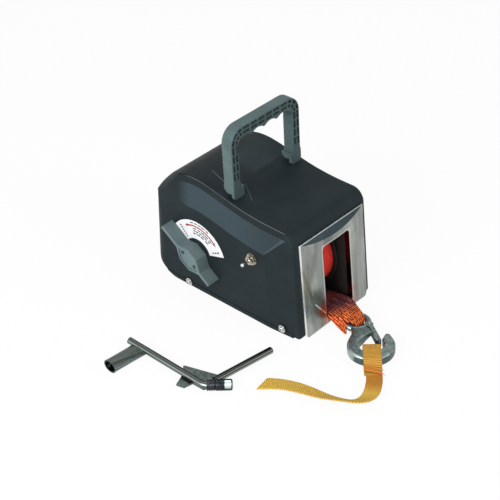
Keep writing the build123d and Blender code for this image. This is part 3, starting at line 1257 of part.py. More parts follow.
def handle_bow():
    """Bow of the handle, legs down to the lips of the feet."""
    foot = HANDLE_LIP_TOP_Z
    face = bow_outline(0, 0, foot) - bow_outline(HANDLE_LEG, HANDLE_LEG + HANDLE_SCALLOP_DEPTH, foot)
    half = HANDLE_DEPTH / 2
    bow = along_x(face, HANDLE_X - half, HANDLE_X + half)
    rims = bow.edges().filter_by(lambda e: abs(abs(e.center().X - HANDLE_X) - half) < 0.01)
    rims = rims.filter_by(lambda e: e.center().Z > foot + 0.01)
    return fillet(rims, HANDLE_EDGE_ROUND)


def even_places(low, high, count):
    """Limits of even spans between two ends."""
    return [low + (high - low) * k / count for k in range(count + 1)]


def handle_ribs():
    """Ribs across the two rows of pockets: level on the legs, upright on the bar, slanted at the corners."""
    middle = HANDLE_HALF_WIDTH - HANDLE_LEG / 2
    bend_y, bend_z = HANDLE_HALF_WIDTH - HANDLE_CORNER, HANDLE_TOP_Z - HANDLE_CORNER
    ribs = []
    for side in (-1, 1):
        for z in even_places(HANDLE_POCKET_LOW_Z, bend_z, HANDLE_LEG_POCKET_COUNT):
            ribs.append(Pos(side * middle, z) * Rectangle(HANDLE_LEG, HANDLE_RIB))
        bend = (side * bend_y, bend_z)
        for degrees in (30, 60):
            ribs.append(link(bend, polar(bend, HANDLE_CORNER, 90 - side * (90 - degrees)), HANDLE_RIB))
    for y in even_places(-bend_y, bend_y, HANDLE_BAR_POCKET_COUNT):
        ribs.append(Pos(y, HANDLE_TOP_Z - HANDLE_LEG / 2) * Rectangle(HANDLE_RIB, HANDLE_LEG))
    return ribs


def handle_pockets():
    """Two rows of pockets that follow the bow."""
    row = (HANDLE_LEG - 3 * HANDLE_RIB) / 2
    low = HANDLE_POCKET_LOW_Z
    face = None
    for start in (HANDLE_RIB, 2 * HANDLE_RIB + row):
        band = bow_outline(start, start, low) - bow_outline(start + row, start + row, low)
        face = band if face is None else face + band
    for rib in handle_ribs():
        face = face - rib
    return face


def handle():
    """Carry handle: ribbed bow with finger scallops on two pivot feet."""
    half = HANDLE_DEPTH / 2
    body = handle_bow()
    body -= along_x(handle_pockets(), HANDLE_X + half - HANDLE_POCKET_DEPTH, HANDLE_X + half)
    radius = (HANDLE_SCALLOP_SPACING ** 2 / 4 + HANDLE_SCALLOP_DEPTH ** 2) / (2 * HANDLE_SCALLOP_DEPTH)
    hollow_z = HANDLE_TOP_Z - HANDLE_LEG - radius
    for k in range(HANDLE_SCALLOP_COUNT):
        y = HANDLE_SCALLOP_Y + (k - (HANDLE_SCALLOP_COUNT - 1) / 2) * HANDLE_SCALLOP_SPACING
        body -= Pos(HANDLE_X, y, hollow_z) * Rot(0, 90, 0) * Cylinder(radius, HANDLE_DEPTH)
    for side in (-1, 1):
        body += handle_foot(side)
        body -= handle_socket(side)
    return body


def handle_foot(side):
    """Foot of one handle leg: round behind, with an inner lip and a front stop plate down to the roof."""
    inner = side * (HANDLE_HALF_WIDTH - HANDLE_FOOT_WIDTH)
    leg = side * (HANDLE_HALF_WIDTH - HANDLE_LEG)
    outer = side * HANDLE_HALF_WIDTH
    wide = HANDLE_FOOT_RADIUS
    foot = rod_y(2 * wide, (HANDLE_X, HANDLE_PIVOT_Z), inner, outer)
    foot -= block(HANDLE_X - wide, HANDLE_X + wide, inner, leg, HANDLE_LIP_TOP_Z, HANDLE_PIVOT_Z + wide)
    stop_z = roof_z(HANDLE_STOP_X) + HANDLE_STOP_GAP
    stop = block(HANDLE_STOP_X, HANDLE_FRONT_X, inner, outer, stop_z, HANDLE_LIP_TOP_Z)
    corners = stop.edges().filter_by(Axis.X).sort_by(Axis.Z)[:2]
    return foot + fillet(corners, HANDLE_STOP_ROUND)


def handle_socket(side):
    """Slot in one handle foot for its lug, open behind and below, with the bore for its pin."""
    slot = HANDLE_LUG_WIDTH / 2 + HANDLE_LUG_GAP
    slot_top = HANDLE_PIVOT_Z + HANDLE_LUG_RADIUS + HANDLE_LUG_GAP
    near, far = side * (HANDLE_LUG_Y - slot), side * (HANDLE_LUG_Y + slot)
    rear = HANDLE_X - HANDLE_DEPTH / 2
    space = block(rear, HANDLE_STOP_X, near, far, HANDLE_PIVOT_Z - HANDLE_FOOT_RADIUS, slot_top)
    seat = slot + HANDLE_PIN_SEAT
    bore = HANDLE_PIN_DIAMETER + 2 * RUNNING_CLEARANCE
    place = (HANDLE_X, HANDLE_PIVOT_Z)
    return space + rod_y(bore, place, side * (HANDLE_LUG_Y - seat), side * (HANDLE_LUG_Y + seat))


def handle_pins():
    """Pivot pins, fast in the lugs of the shell."""
    reach = HANDLE_LUG_WIDTH / 2 + HANDLE_PIN_SEAT
    return Compound([
        rod_y(HANDLE_PIN_DIAMETER, (HANDLE_X, HANDLE_PIVOT_Z), side * (HANDLE_LUG_Y - reach),
              side * (HANDLE_LUG_Y + reach))
        for side in (-1, 1)
    ])


def at_hook(shape):
    """Shape drawn in the hook's own frame, at its place."""
    return Pos(HOOK_X, HOOK_Y, HOOK_Z) * Rot(0, 0, HOOK_ANGLE) * shape


def tangent_point(point, centre, radius, side):
    """Where a line from a point touches a circle, on one side of it."""
    away = math.dist(point, centre)
    run = math.sqrt(away ** 2 - radius ** 2)
    heading = math.degrees(math.atan2(centre[1] - point[1], centre[0] - point[0]))
    return polar(point, run, heading + side * math.degrees(math.asin(radius / away)))


def hook_face():
    """Flat outline of the hook: shank, bowl and tip."""
    bowl = (HOOK_REACH, 0)
    inner_end = polar(bowl, HOOK_BOWL_INNER, 90)
    outer_end = polar(bowl, HOOK_BOWL_OUTER, 90)
    inner_start = tangent_point(HOOK_THROAT, bowl, HOOK_BOWL_INNER, -1)
    outer_start = tangent_point(HOOK_HEEL, bowl, HOOK_BOWL_OUTER, -1)
    low, high = (EYE_RADIUS - 3, -EYE_RADIUS + 1.5), (EYE_RADIUS - 1.5, EYE_RADIUS - 1.5)
    face = make_face([
        Line(high, HOOK_THROAT),
        Line(HOOK_THROAT, inner_start),
        ThreePointArc(inner_start, polar(bowl, HOOK_BOWL_INNER, -30), inner_end),
        Line(inner_end, HOOK_TIP_ROOT),
        Line(HOOK_TIP_ROOT, HOOK_TIP),
        Line(HOOK_TIP, outer_end),
        ThreePointArc(outer_end, polar(bowl, HOOK_BOWL_OUTER, -30), outer_start),
        Line(outer_start, HOOK_HEEL),
        Line(HOOK_HEEL, low),
        Line(low, high),
    ])
    face = fillet(corner(face, *HOOK_TIP), HOOK_TIP_ROUND)
    face = fillet(corner(face, *HOOK_TIP_ROOT), HOOK_SOFT_BEND)
    face = fillet(corner(face, *HOOK_THROAT), HOOK_SOFT_BEND)
    return fillet(corner(face, *HOOK_HEEL), 2 * HOOK_SOFT_BEND)


def hook():
    """Forged hook with a round eye, cut away at the sides for the latch."""
    half = HOOK_THICKNESS / 2
    body = extrude(hook_face(), amount=half, both=True)
    rims = body.edges().filter_by(lambda e: abs(abs(e.center().Z) - half) < 0.01)
    rims = rims.filter_by(lambda e: e.center().X > EYE_RADIUS)
    body = fillet(rims, HOOK_ROUND)
    web = LATCH_WEB / 2
    for side in (-1, 1):
        body -= Pos(*LATCH_PIVOT, side * (web + half) / 2) * Cylinder(LATCH_SWEEP, half - web)
    body += Pos(*LATCH_PIVOT) * Cylinder(LATCH_EAR_RADIUS, LATCH_WEB)
    body += Rot(0, 0, 120) * Torus(EYE_RADIUS, EYE_BAR / 2)
    return at_hook(body - Pos(*LATCH_PIVOT) * Cylinder(LATCH_PIN_DIAMETER / 2, HOOK_THICKNESS))


def hook_latch():
    """Folded latch: two cheeks on the pin and a spine that closes the mouth."""
    u, v = LATCH_PIVOT
    end = u + LATCH_LENGTH
    top = v + LATCH_ABOVE
    low = v - LATCH_BELOW
    cheek = disc(LATCH_PIVOT, 2 * LATCH_EAR_RADIUS) + outline([(u, low), (end, low), (end, top), (u, top)])
    cheek -= disc(LATCH_PIVOT, LATCH_PIN_DIAMETER + 2 * RUNNING_CLEARANCE)
    inner = LATCH_WEB / 2 + LATCH_SIDE_GAP
    latch = None
    for z in (inner, -inner - LATCH_SHEET):
        side = Pos(0, 0, z) * extrude(cheek, amount=LATCH_SHEET)
        latch = side if latch is None else latch + side
    outer = inner + LATCH_SHEET
    spine = block(u + LATCH_SPINE_START, end, top - LATCH_SHEET, top, -outer, outer)
    return at_hook(latch + spine)


def latch_pin():
    """Pin through the hook and the latch."""
    length = LATCH_WEB + 2 * LATCH_SIDE_GAP + 4 * LATCH_SHEET
    return at_hook(Pos(*LATCH_PIVOT) * Cylinder(LATCH_PIN_DIAMETER / 2, length))


def pull_loop():
    """Doubled end of the pull strap, folded round the bowl of the hook."""
    reach = HOOK_THICKNESS / 2 + PULL_CLEARANCE + PULL_THICKNESS / 2
    low = HOOK_Z - reach
    high = HOOK_Z + reach
    bend = reach - 0.05
    path = FilletPolyline(
        (PULL_LAP, PULL_LAP_Z), (PULL_BAR, low), (0, low), (0, high), (PULL_BAR, high),
        (PULL_LAP - PULL_LAP_FLAT, PULL_LAP_Z + PULL_LAP_RISE),
        (PULL_LAP, PULL_LAP_Z + PULL_THICKNESS + PULL_CLEARANCE),
        radius=[PULL_SOFT_BEND, bend, bend, PULL_SOFT_BEND / 2, PULL_SOFT_BEND / 2],
    )
    upright = Plane(origin=(0, 0, -HOOK_Z), x_dir=(1, 0, 0), z_dir=(0, -1, 0))
    band = extrude(upright * trace(path, PULL_THICKNESS), amount=PULL_WIDTH / 2, both=True)
    return at_hook(Pos(*PULL_FOLD, 0) * Rot(0, 0, PULL_HEADING) * band)


def pull_tail_stations():
    """Middle points of the free end of the pull strap, from the end of its sewn lap."""
    heading = math.radians(HOOK_ANGLE + PULL_HEADING)
    turn = math.radians(HOOK_ANGLE)
    u, v = PULL_FOLD
    half = PULL_WIDTH / 2
    stations = []
    for run in (PULL_LAP + PULL_CLEARANCE, PULL_LAP + PULL_CLEARANCE + PULL_STRAIGHT):
        x = HOOK_X + u * math.cos(turn) - v * math.sin(turn) + run * math.cos(heading)
        y = HOOK_Y + u * math.sin(turn) + v * math.cos(turn) + run * math.sin(heading)
        stations.append((x, y, PULL_LAP_Z, 0, half, PULL_THICKNESS))
    return stations + [(px, py, pz, tilt, half, PULL_THICKNESS) for px, py, pz, tilt in PULL_ROUTE]


def pull_tail():
    """Free end of the pull strap, curling back along the floor on its edge."""
    stations = pull_tail_stations()
    tail = loft(strap_sections(stations), ruled=True)
    length = sum(math.dist(a[:3], b[:3]) for a, b in zip(stations, stations[1:]))
    section = PULL_WIDTH * PULL_THICKNESS
    print("pull strap tail: length", round(length, 1), "mm, volume over section times length",
          round(tail.volume / (section * length), 3))
    for a, b, c in zip(stations, stations[1:], stations[2:]):
        before = Vector(*b[:3]) - Vector(*a[:3])
        after = Vector(*c[:3]) - Vector(*b[:3])
        turn = math.radians(before.get_angle(after))
        print("pull strap tail: bend radius", round((before.length + after.length) / 2 / turn, 1), "mm")
    return tail


def crank_arm():
    """Round arm of the crank with its bent stub."""
    points = [(*CRANK_ARM_START, CRANK_Z), (*CRANK_ARM_END, CRANK_Z), (*CRANK_STUB_END, CRANK_Z)]
    path = FilletPolyline(*points, radius=CRANK_BEND_RADIUS)
    return sweep(Plane(path @ 0, z_dir=path % 0) * Circle(CRANK_ROD_DIAMETER / 2), path=path)


def flat_rod(start, end, diameter):
    """Cylinder between two floor points at the height of the crank."""
    length = math.dist(start, end)
    turn = math.degrees(math.atan2(end[1] - start[1], end[0] - start[0]))
    middle = Pos((start[0] + end[0]) / 2, (start[1] + end[1]) / 2, CRANK_Z)
    return middle * Rot(0, 0, turn) * Rot(0, 90, 0) * Cylinder(diameter / 2, length)


def crank_sleeve():
    """Thick sleeve pressed on the stub, rounded at its end."""
    turn = math.atan2(CRANK_STUB_END[1] - CRANK_ARM_END[1], CRANK_STUB_END[0] - CRANK_ARM_END[0])
    start = (CRANK_STUB_END[0] - CRANK_SLEEVE_LENGTH * math.cos(turn),
             CRANK_STUB_END[1] - CRANK_SLEEVE_LENGTH * math.sin(turn))
    sleeve = flat_rod(start, CRANK_STUB_END, CRANK_SLEEVE_DIAMETER)
    rims = sleeve.edges().filter_by(GeomType.CIRCLE)
    return fillet(rims, CRANK_SLEEVE_ROUND) - crank_arm()


def crank_drive_rod():
    """Rod that goes into the crank socket, welded to the sleeve."""
    rod = flat_rod(CRANK_DRIVE_START, CRANK_DRIVE_END, CRANK_ROD_DIAMETER)
    ends = rod.edges().filter_by(GeomType.CIRCLE).sort_by(Axis.Y)[-1]
    rod = chamfer(ends, CRANK_DRIVE_CHAMFER)
    return rod - crank_sleeve() - crank_arm()


def crank_gusset():
    """Flat plate under the bend, welded to arm and rod."""
    low = CRANK_Z - CRANK_ROD_DIAMETER / 2 - CRANK_GUSSET_THICKNESS
    plate = extrude(outline(CRANK_GUSSET), amount=CRANK_GUSSET_THICKNESS)
    return Pos(0, 0, low) * plate - crank_sleeve()


def crank_grip():
    """Hollow grip, round at its open end and pressed flat where it is welded under the arm."""
    root_y = CRANK_ARM_START[1]
    root = (CRANK_GRIP_X, root_y, CRANK_FLOOR_GAP + CRANK_GRIP_ROOT_HALF_HEIGHT)
    mouth = (CRANK_GRIP_X, root_y - CRANK_GRIP_LENGTH, CRANK_FLOOR_GAP + CRANK_GRIP_HALF_HEIGHT)
    tubes = []
    for wall in (0.0, CRANK_GRIP_WALL):
        open_end = Ellipse(CRANK_GRIP_HALF_WIDTH - wall, CRANK_GRIP_HALF_HEIGHT - wall)
        flat_end = Ellipse(CRANK_GRIP_ROOT_HALF_WIDTH - wall, CRANK_GRIP_ROOT_HALF_HEIGHT - wall)
        tubes.append(loft([
            Plane(origin=mouth, x_dir=(1, 0, 0), z_dir=(0, 1, 0)) * open_end,
            Plane(origin=root, x_dir=(1, 0, 0), z_dir=(0, 1, 0)) * flat_end,
        ]))
    return tubes[0] - tubes[1] - crank_arm()


def main():
    """Write every node to its own file."""
    os.makedirs("parts", exist_ok=True)
    nodes = {
        "housing_shell": housing_shell(),
        "base_pan": base_pan(),
        "side_screws": side_screws(),
        "side_washers": side_washers(),
        "fairlead_plate": fairlead_plate(),
        "gear_frame": gear_frame(),
        "motor_frame": motor_frame(),
        "tie_rods": tie_rods(),
        "frame_pillars": frame_pillars(),
        "carrier_plate": carrier_plate(),
        "frame_screws": frame_screws(),
        "pillar_screws": pillar_screws(),
        "drum_gear": drum_gear(),
        "middle_gear": middle_gear(),
        "clutch_gear": clutch_gear(),
        "gear_shafts": gear_shafts(),
        "drum_shaft": drum_shaft(),
        "drum_bushes": drum_bushes(),
        "drum_spool": drum_spool(),
        "strap_core": strap_core(),
        "strap_roll": strap_roll(),
        "strap_lead": strap_lead(),
        "motor_can": motor_can(),
        "motor_magnets": motor_magnets(),
        "motor_rotor": motor_rotor(),
        "motor_cap": motor_cap(),
        "motor_screws": motor_screws(),
        "motor_cradle": motor_cradle(),
        "crank_socket": crank_socket(),
        "clutch_knob": clutch_knob(),
        "knob_screws": knob_screws(),
        "clutch_spindle": clutch_spindle(),
        "shift_fork": shift_fork(),
        "fork_guide": fork_guide(),
        "clutch_decal": clutch_decal(),
        "switch_body": switch_body(),
        "switch_nut": switch_nut(),
        "switch_lever": switch_lever(),
        "handle": handle(),
        "handle_pins": handle_pins(),
        "hook": hook(),
        "hook_latch": hook_latch(),
        "latch_pin": latch_pin(),
        "pull_loop": pull_loop(),
        "pull_tail": pull_tail(),
        "crank_arm": crank_arm(),
        "crank_sleeve": crank_sleeve(),
        "crank_drive_rod": crank_drive_rod(),
        "crank_gusset": crank_gusset(),
        "crank_grip": crank_grip(),
    }
    for name, shape in nodes.items():
        export_step(shape, f"parts/{name}.step")
        print(name, "volume", round(shape.volume / 1000, 2), "cm3", "solids", len(shape.solids()))


main()
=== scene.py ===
"""Portable electric winch with its hand crank on a plain white floor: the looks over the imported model."""
import math
from collections import namedtuple

import bmesh
import bpy
from mathutils import Matrix, Vector


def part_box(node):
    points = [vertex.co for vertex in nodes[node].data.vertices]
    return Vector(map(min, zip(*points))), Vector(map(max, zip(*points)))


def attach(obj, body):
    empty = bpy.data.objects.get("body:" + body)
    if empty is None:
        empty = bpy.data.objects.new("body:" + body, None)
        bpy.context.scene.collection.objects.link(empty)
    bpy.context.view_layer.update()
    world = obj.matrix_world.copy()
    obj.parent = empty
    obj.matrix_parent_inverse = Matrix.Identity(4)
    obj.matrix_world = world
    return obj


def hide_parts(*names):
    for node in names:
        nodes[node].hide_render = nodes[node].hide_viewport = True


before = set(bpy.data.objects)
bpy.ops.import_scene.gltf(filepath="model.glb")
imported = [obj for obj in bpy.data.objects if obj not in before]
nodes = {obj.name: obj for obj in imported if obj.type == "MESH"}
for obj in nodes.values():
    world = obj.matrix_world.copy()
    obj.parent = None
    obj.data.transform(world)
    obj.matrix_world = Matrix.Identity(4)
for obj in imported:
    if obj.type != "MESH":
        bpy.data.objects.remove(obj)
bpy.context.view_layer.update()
scene = bpy.context.scene
scene.view_settings.view_transform = "Standard"

MM = 0.001
SHARP_ANGLE = 50.0
X_AXIS = (1.0, 0.0, 0.0)
Y_AXIS = (0.0, 1.0, 0.0)
Z_AXIS = (0.0, 0.0, 1.0)
WHITE = (1.0, 1.0, 1.0, 1.0)

# Camera, fitted to the photograph: angles in degrees, distances in metres
CAMERA_AZIMUTH = 44.374
CAMERA_ELEVATION = 34.933
CAMERA_ROLL = -3.108
CAMERA_DISTANCE = 2.069143
CAMERA_TARGET = Vector((0.0, 0.0, 0.080))
FOCAL_PIXELS = 1419.21
PICTURE_PIXELS = 500.0
SHIFT_PIXELS = (-10.265, -15.147)
SENSOR_MM = 36.0

# Lamps, in metres and watts: place, point looked at, width and height, power
LAMPS = {
    "near": ((0.2, -1.9, 1.1), (0.0, 0.0, 0.1), (1.8, 1.2), 44.0),
    "front": ((1.9, 0.5, 1.0), (0.1, 0.0, 0.1), (1.0, 1.0), 18.0),
    "top": ((-0.5, 0.6, 2.2), (0.0, 0.0, 0.1), (1.4, 1.0), 8.0),
}
WORLD_LIGHT = 0.35
FLOOR_SIZE = 12.0
FLOOR_Z = -0.0005
FLOOR_TONE = (0.86, 0.86, 0.86, 1.0)
FLOOR_GLOW_SHARE = 0.93

# Painted light on the housing's flared sides, a lighter slate band: slopes as ratios, start and end of each
# fade in metres
LIT_BAND_REAR = (-0.088, -0.058)
LIT_BAND_FRONT_FADE = (0.02, 0.10)
LIT_BAND_RISE = 0.373
LIT_BAND_LOWER_EDGE = (0.1180, 0.1210)
LIT_FACET_LEAN = -0.9
LIT_FACET_EDGE = (-0.0337, -0.0327)

# Roof of the housing, in metres: painted sheen behind the handle and a painted highlight line along both
# edges
SHEEN_REAR = (-0.070, -0.040)
SHEEN_FRONT = (0.000, -0.005)
SHEEN_SIDES = (0.005, 0.055, 0.02)
HIGHLIGHT_LINE_LENGTH = (-0.050, 0.118, 0.030)

# Colour of the roof's painted highlight line and of its creases
HIGHLIGHT_AND_CREASE_TONE = (0.150, 0.165, 0.172)

# Creases in the roof beside the near handle foot, in millimetres: start, end and how pale each is
ROOF_CREASES = (
    ((-43.0, -45.0), (-14.0, -50.6), 0.55),
    ((6.0, -30.2), (35.1, -48.5), 0.35),
)
ROOF_CREASE_WIDTH = 0.9

# Marks on the fairlead plate, painted highlights, shade and reflection among them, in metres: start and end
# of a fade, or low end, high end and softness
PLATE_TOP_LINE = (-0.0010, -0.0004)
PLATE_NEAR_LINE = (0.0034, 0.0020)
SLOT_RIM_NEAR = (-0.0288, -0.0266, 0.0006)
SLOT_RIM_FAR = (0.0296, 0.0318, 0.0006)
SLOT_RIM_TOP = (0.1368, 0.1392, 0.0006)
SLOT_RIM_TOP_SPAN = (-0.027, 0.030, 0.002)
SLOT_SIDES_END = (0.139, 0.136)
SLOT_RETURN = (-0.03, 0.0)
BROWN_LEAN = 0.24
BROWN_STREAK = (-0.0378, -0.0360, 0.003)
BROWN_HEIGHT = (0.060, 0.106, 0.018)
DARK_PATCH = (-0.045, -0.035, 0.007)
DARK_PATCH_HEIGHT = (0.036, 0.066, 0.014)
GLINT_LEAN = 1.34
GLINT = (-0.0127, -0.0107, 0.0007)
GLINT_SPAN = (-0.046, -0.030, 0.002)
RED_PATCH = (-0.032, 0.034, 0.010)
RED_PATCH_HEIGHT = (0.014, 0.042, 0.016)

# Winch strap, in millimetres: stations are x, y, z, half width and droop of the edges
DRUM_X = 59.0
DRUM_Z = 77.0
STRAP_THICKNESS = 2.4
STRAP_HALF_WIDTH = 25.0
STRAP_RIBS = 9
STRAP_RIB_DEPTH = 0.25
STRAP_COLUMNS = 54
ROLL_RADIUS = 60.0
ROLL_PITCH = 2.95
ROLL_TURNS = 11.5
ROLL_END_ANGLE = -95.0
ROLL_STEPS = 56
ROLL_COLUMNS = 8
LEAD_TONGUE = (
    (66, 0, 13.8, 25, 0), (85, 0, 15.4, 25, 0), (104, 0, 17.2, 25, 0), (128, 0, 20.6, 25, 0),
    (140, 0, 22.3, 25, 0), (150, 0, 23.2, 24.6, 0.6), (158, 0.5, 22.6, 22.5, 1.5),
    (166, 1, 20.9, 19.5, 2.5), (174, 0.6, 18.9, 17, 2.3), (180, 0.2, 17.6, 14.5, 1.2),
    (185, -0.5, 15.6, 12, 0.6), (188, -1, 12.5, 9, 0), (188.6, -1, 8, 8.3, 0), (187, -1, 4.2, 8, 0),
    (182.5, -1, 2.3, 8, 0), (176, -1, 2.2, 9.5, 0), (168, -1, 2.4, 11.5, 0), (161, -1, 4, 12.5, 0),
)
FLAP_OUTER = (
    (148, -25.0, 20.0), (156, -25.2, 15.0), (163, -25.4, 10.8), (168, -25.5, 8.2), (172, -25.5, 6.4),
    (176, -25.6, 4.8), (179, -25.6, 3.8), (182.3, -25.5, 3.0),
)
FLAP_INNER = (
    (148, -20.0, 22.0), (156, -18.5, 20.8), (163, -17.0, 19.2), (168, -16.6, 18.2), (172, -16.8, 17.4),
    (176, -18.2, 15.8), (179, -20.6, 12.4), (182.3, -23.6, 6.0),
)
FLAP_THICKNESS = 1.8
LEAD_STEPS = 6

# Webbing, in millimetres: thread sizes, and where the yellow turns browner towards its sewn end
THREAD_LENGTH = 11.5
THREAD_ROW = 3.4
THREAD_GAP = 0.85
LOOP_ROW = 2.6
LOOP_WORN = (13.0, 7.0)
TAIL_ROW = 3.0
TAIL_WORN = (42.0, 14.0)

# Pull strap, in millimetres and degrees
PULL_HALF_WIDTH = 12.5
PULL_THICKNESS = 1.8
HOOK_EYE = (183.0, -1.0)
HOOK_ANGLE = -31.8
LOOP_FOLD = (57.5, 1.0)
LOOP_HEADING = -48.4
LOOP_RADIUS = 8.7
LOOP_MIDDLE_Z = 10.2
LOOP_STRAIGHT_END = 34.0
LOOP_LOWER_END = (54.3, 5.2)
LOOP_UPPER_END = (51.0, 7.3)
LOOP_END_SLANT = 5.0
LOOP_SLANT_LENGTH = 15.0
LOOP_STEPS = 14
STITCH_RADIUS = 1.05
STITCH_INSET = 1.0
STITCH_REACH = 1.02 * PULL_HALF_WIDTH
STITCH_WAVER = 0.35
STITCH_WAVE_RATE = 9.0
STITCH_STEPS = 24
FRAY_RADIUS = 0.4
FRAY_INSET = 1.0
FRAYS = ((-7.5, 2.6, -0.6), (1.2, 3.2, -2.2))
PULL_ROUTE = (
    (268.446, -71.059, 5.2), (273.757, -77.041, 5.2), (279.5, -85.2, 4.6), (285.8, -95.2, 4.2),
    (290.2, -106.5, 4.6), (290.8, -117.8, 6.0), (287.0, -127.6, 7.8), (278.8, -135.0, 8.9),
    (264.6, -141.4, 8.4), (250.5, -145.8, 7.0), (235.6, -148.4, 5.6), (219.6, -150.4, 4.4),
    (203.5, -154.0, 3.7), (188.2, -159.4, 3.2), (173.2, -167.6, 2.7), (161.5, -177.5, 2.4),
)
PULL_TILT = (0, 0, 3, 7, 14, 22, 31, 36, 34, 27.5, 20.5, 14.5, 11, 9, 7, 5)
PULL_END_SLANT = 6.7
PULL_SLANT_LENGTH = 20.0
PULL_GATHER = 1.3
PULL_GATHER_LENGTH = 60.0

# Print on the clutch decal, in millimetres and degrees round the knob
KNOB_X = -50.0
KNOB_Z = 68.5
PRINT_PROUD = 0.12
PRINT_SINK = 0.02
ARC_STEP = 3
ARROW_BAR = (45.3, 47.5)
ARROW_SPAN = (44, 111)
ARROW_HEAD_RADII = (43.6, 46.4, 49.2)
ARROW_HEAD_SPAN = 8
BAR_ROWS = ((50.2, 62, 112, 8.5), (41.0, 46, 102, 11.0), (36.8, 48, 104, 9.0), (32.6, 50, 106, 14.0))
BAR_HEIGHT = 2.0
BAR_SHARE = 0.70
BAR_SHARE_CHANGE = 0.08
TICK_COUNT = 6
TICK_RADIUS = 29.0
TICK_PITCH = 3.7
TICK_HEIGHT = 2.4
TICK_SPAN = (129.0, 132.5)
END_MARK_RADII = (33.0, 38.5, 44.0)
END_MARK_HEIGHT = 3.6
END_MARK_SPAN = (23.0, 26.2)

# Crank, in millimetres; the last number of the sleeve's painted highlight is how far it fades
CRANK_Z = 8.2
SLEEVE_START = (119.1, -224.5)
SLEEVE_END = (137.0, -208.5)
SLEEVE_RADIUS = 8.0
SLEEVE_HIGHLIGHT = (14.6, 21.5, 1.8)
SLEEVE_HIGHLIGHT_SIDE = (0.45, -0.50, 0.72)
COLLAR_LENGTH = 11.0
COLLAR_SINK = 0.9
RIB_COUNT = 8
RIB_START = 1.0
RIB_PITCH = 2.4
RIB_SINK = 0.55
RIB_THICKNESS = 0.65
GRIP_RIDGE_PITCH = 2.6


# Camera and lamps
def make_camera():
    """Camera at the photograph's viewing angle."""
    azimuth = math.radians(CAMERA_AZIMUTH)
    elevation = math.radians(CAMERA_ELEVATION)
    away = Vector((
        math.sin(azimuth) * math.cos(elevation),
        -math.cos(azimuth) * math.cos(elevation),
        math.sin(elevation),
    ))
    right = Vector((math.cos(azimuth), math.sin(azimuth), 0.0))
    up = away.cross(right)
    roll = math.radians(CAMERA_ROLL)
    rolled_right = math.cos(roll) * right + math.sin(roll) * up
    rolled_up = away.cross(rolled_right)
    turn = Matrix((rolled_right, rolled_up, away)).transposed().to_4x4()
    data = bpy.data.cameras.new("camera")
    data.sensor_width = SENSOR_MM
    data.lens = FOCAL_PIXELS / PICTURE_PIXELS * SENSOR_MM
    data.shift_x = SHIFT_PIXELS[0] / PICTURE_PIXELS
    data.shift_y = SHIFT_PIXELS[1] / PICTURE_PIXELS
    camera = bpy.data.objects.new("camera", data)
    camera.matrix_world = Matrix.Translation(CAMERA_TARGET + CAMERA_DISTANCE * away) @ turn
    scene.collection.objects.link(camera)
    scene.camera = camera


def area_light(name, place, target, size, watts):
    """Soft rectangular lamp that looks at a point."""
    data = bpy.data.lights.new(name, "AREA")
    data.shape = "RECTANGLE"
    data.size, data.size_y = size
    data.energy = watts
    lamp = bpy.data.objects.new(name, data)
    aim = (Vector(target) - Vector(place)).to_track_quat("-Z", "Y")
    lamp.matrix_world = Matrix.Translation(Vector(place)) @ aim.to_matrix().to_4x4()
    scene.collection.objects.link(lamp)


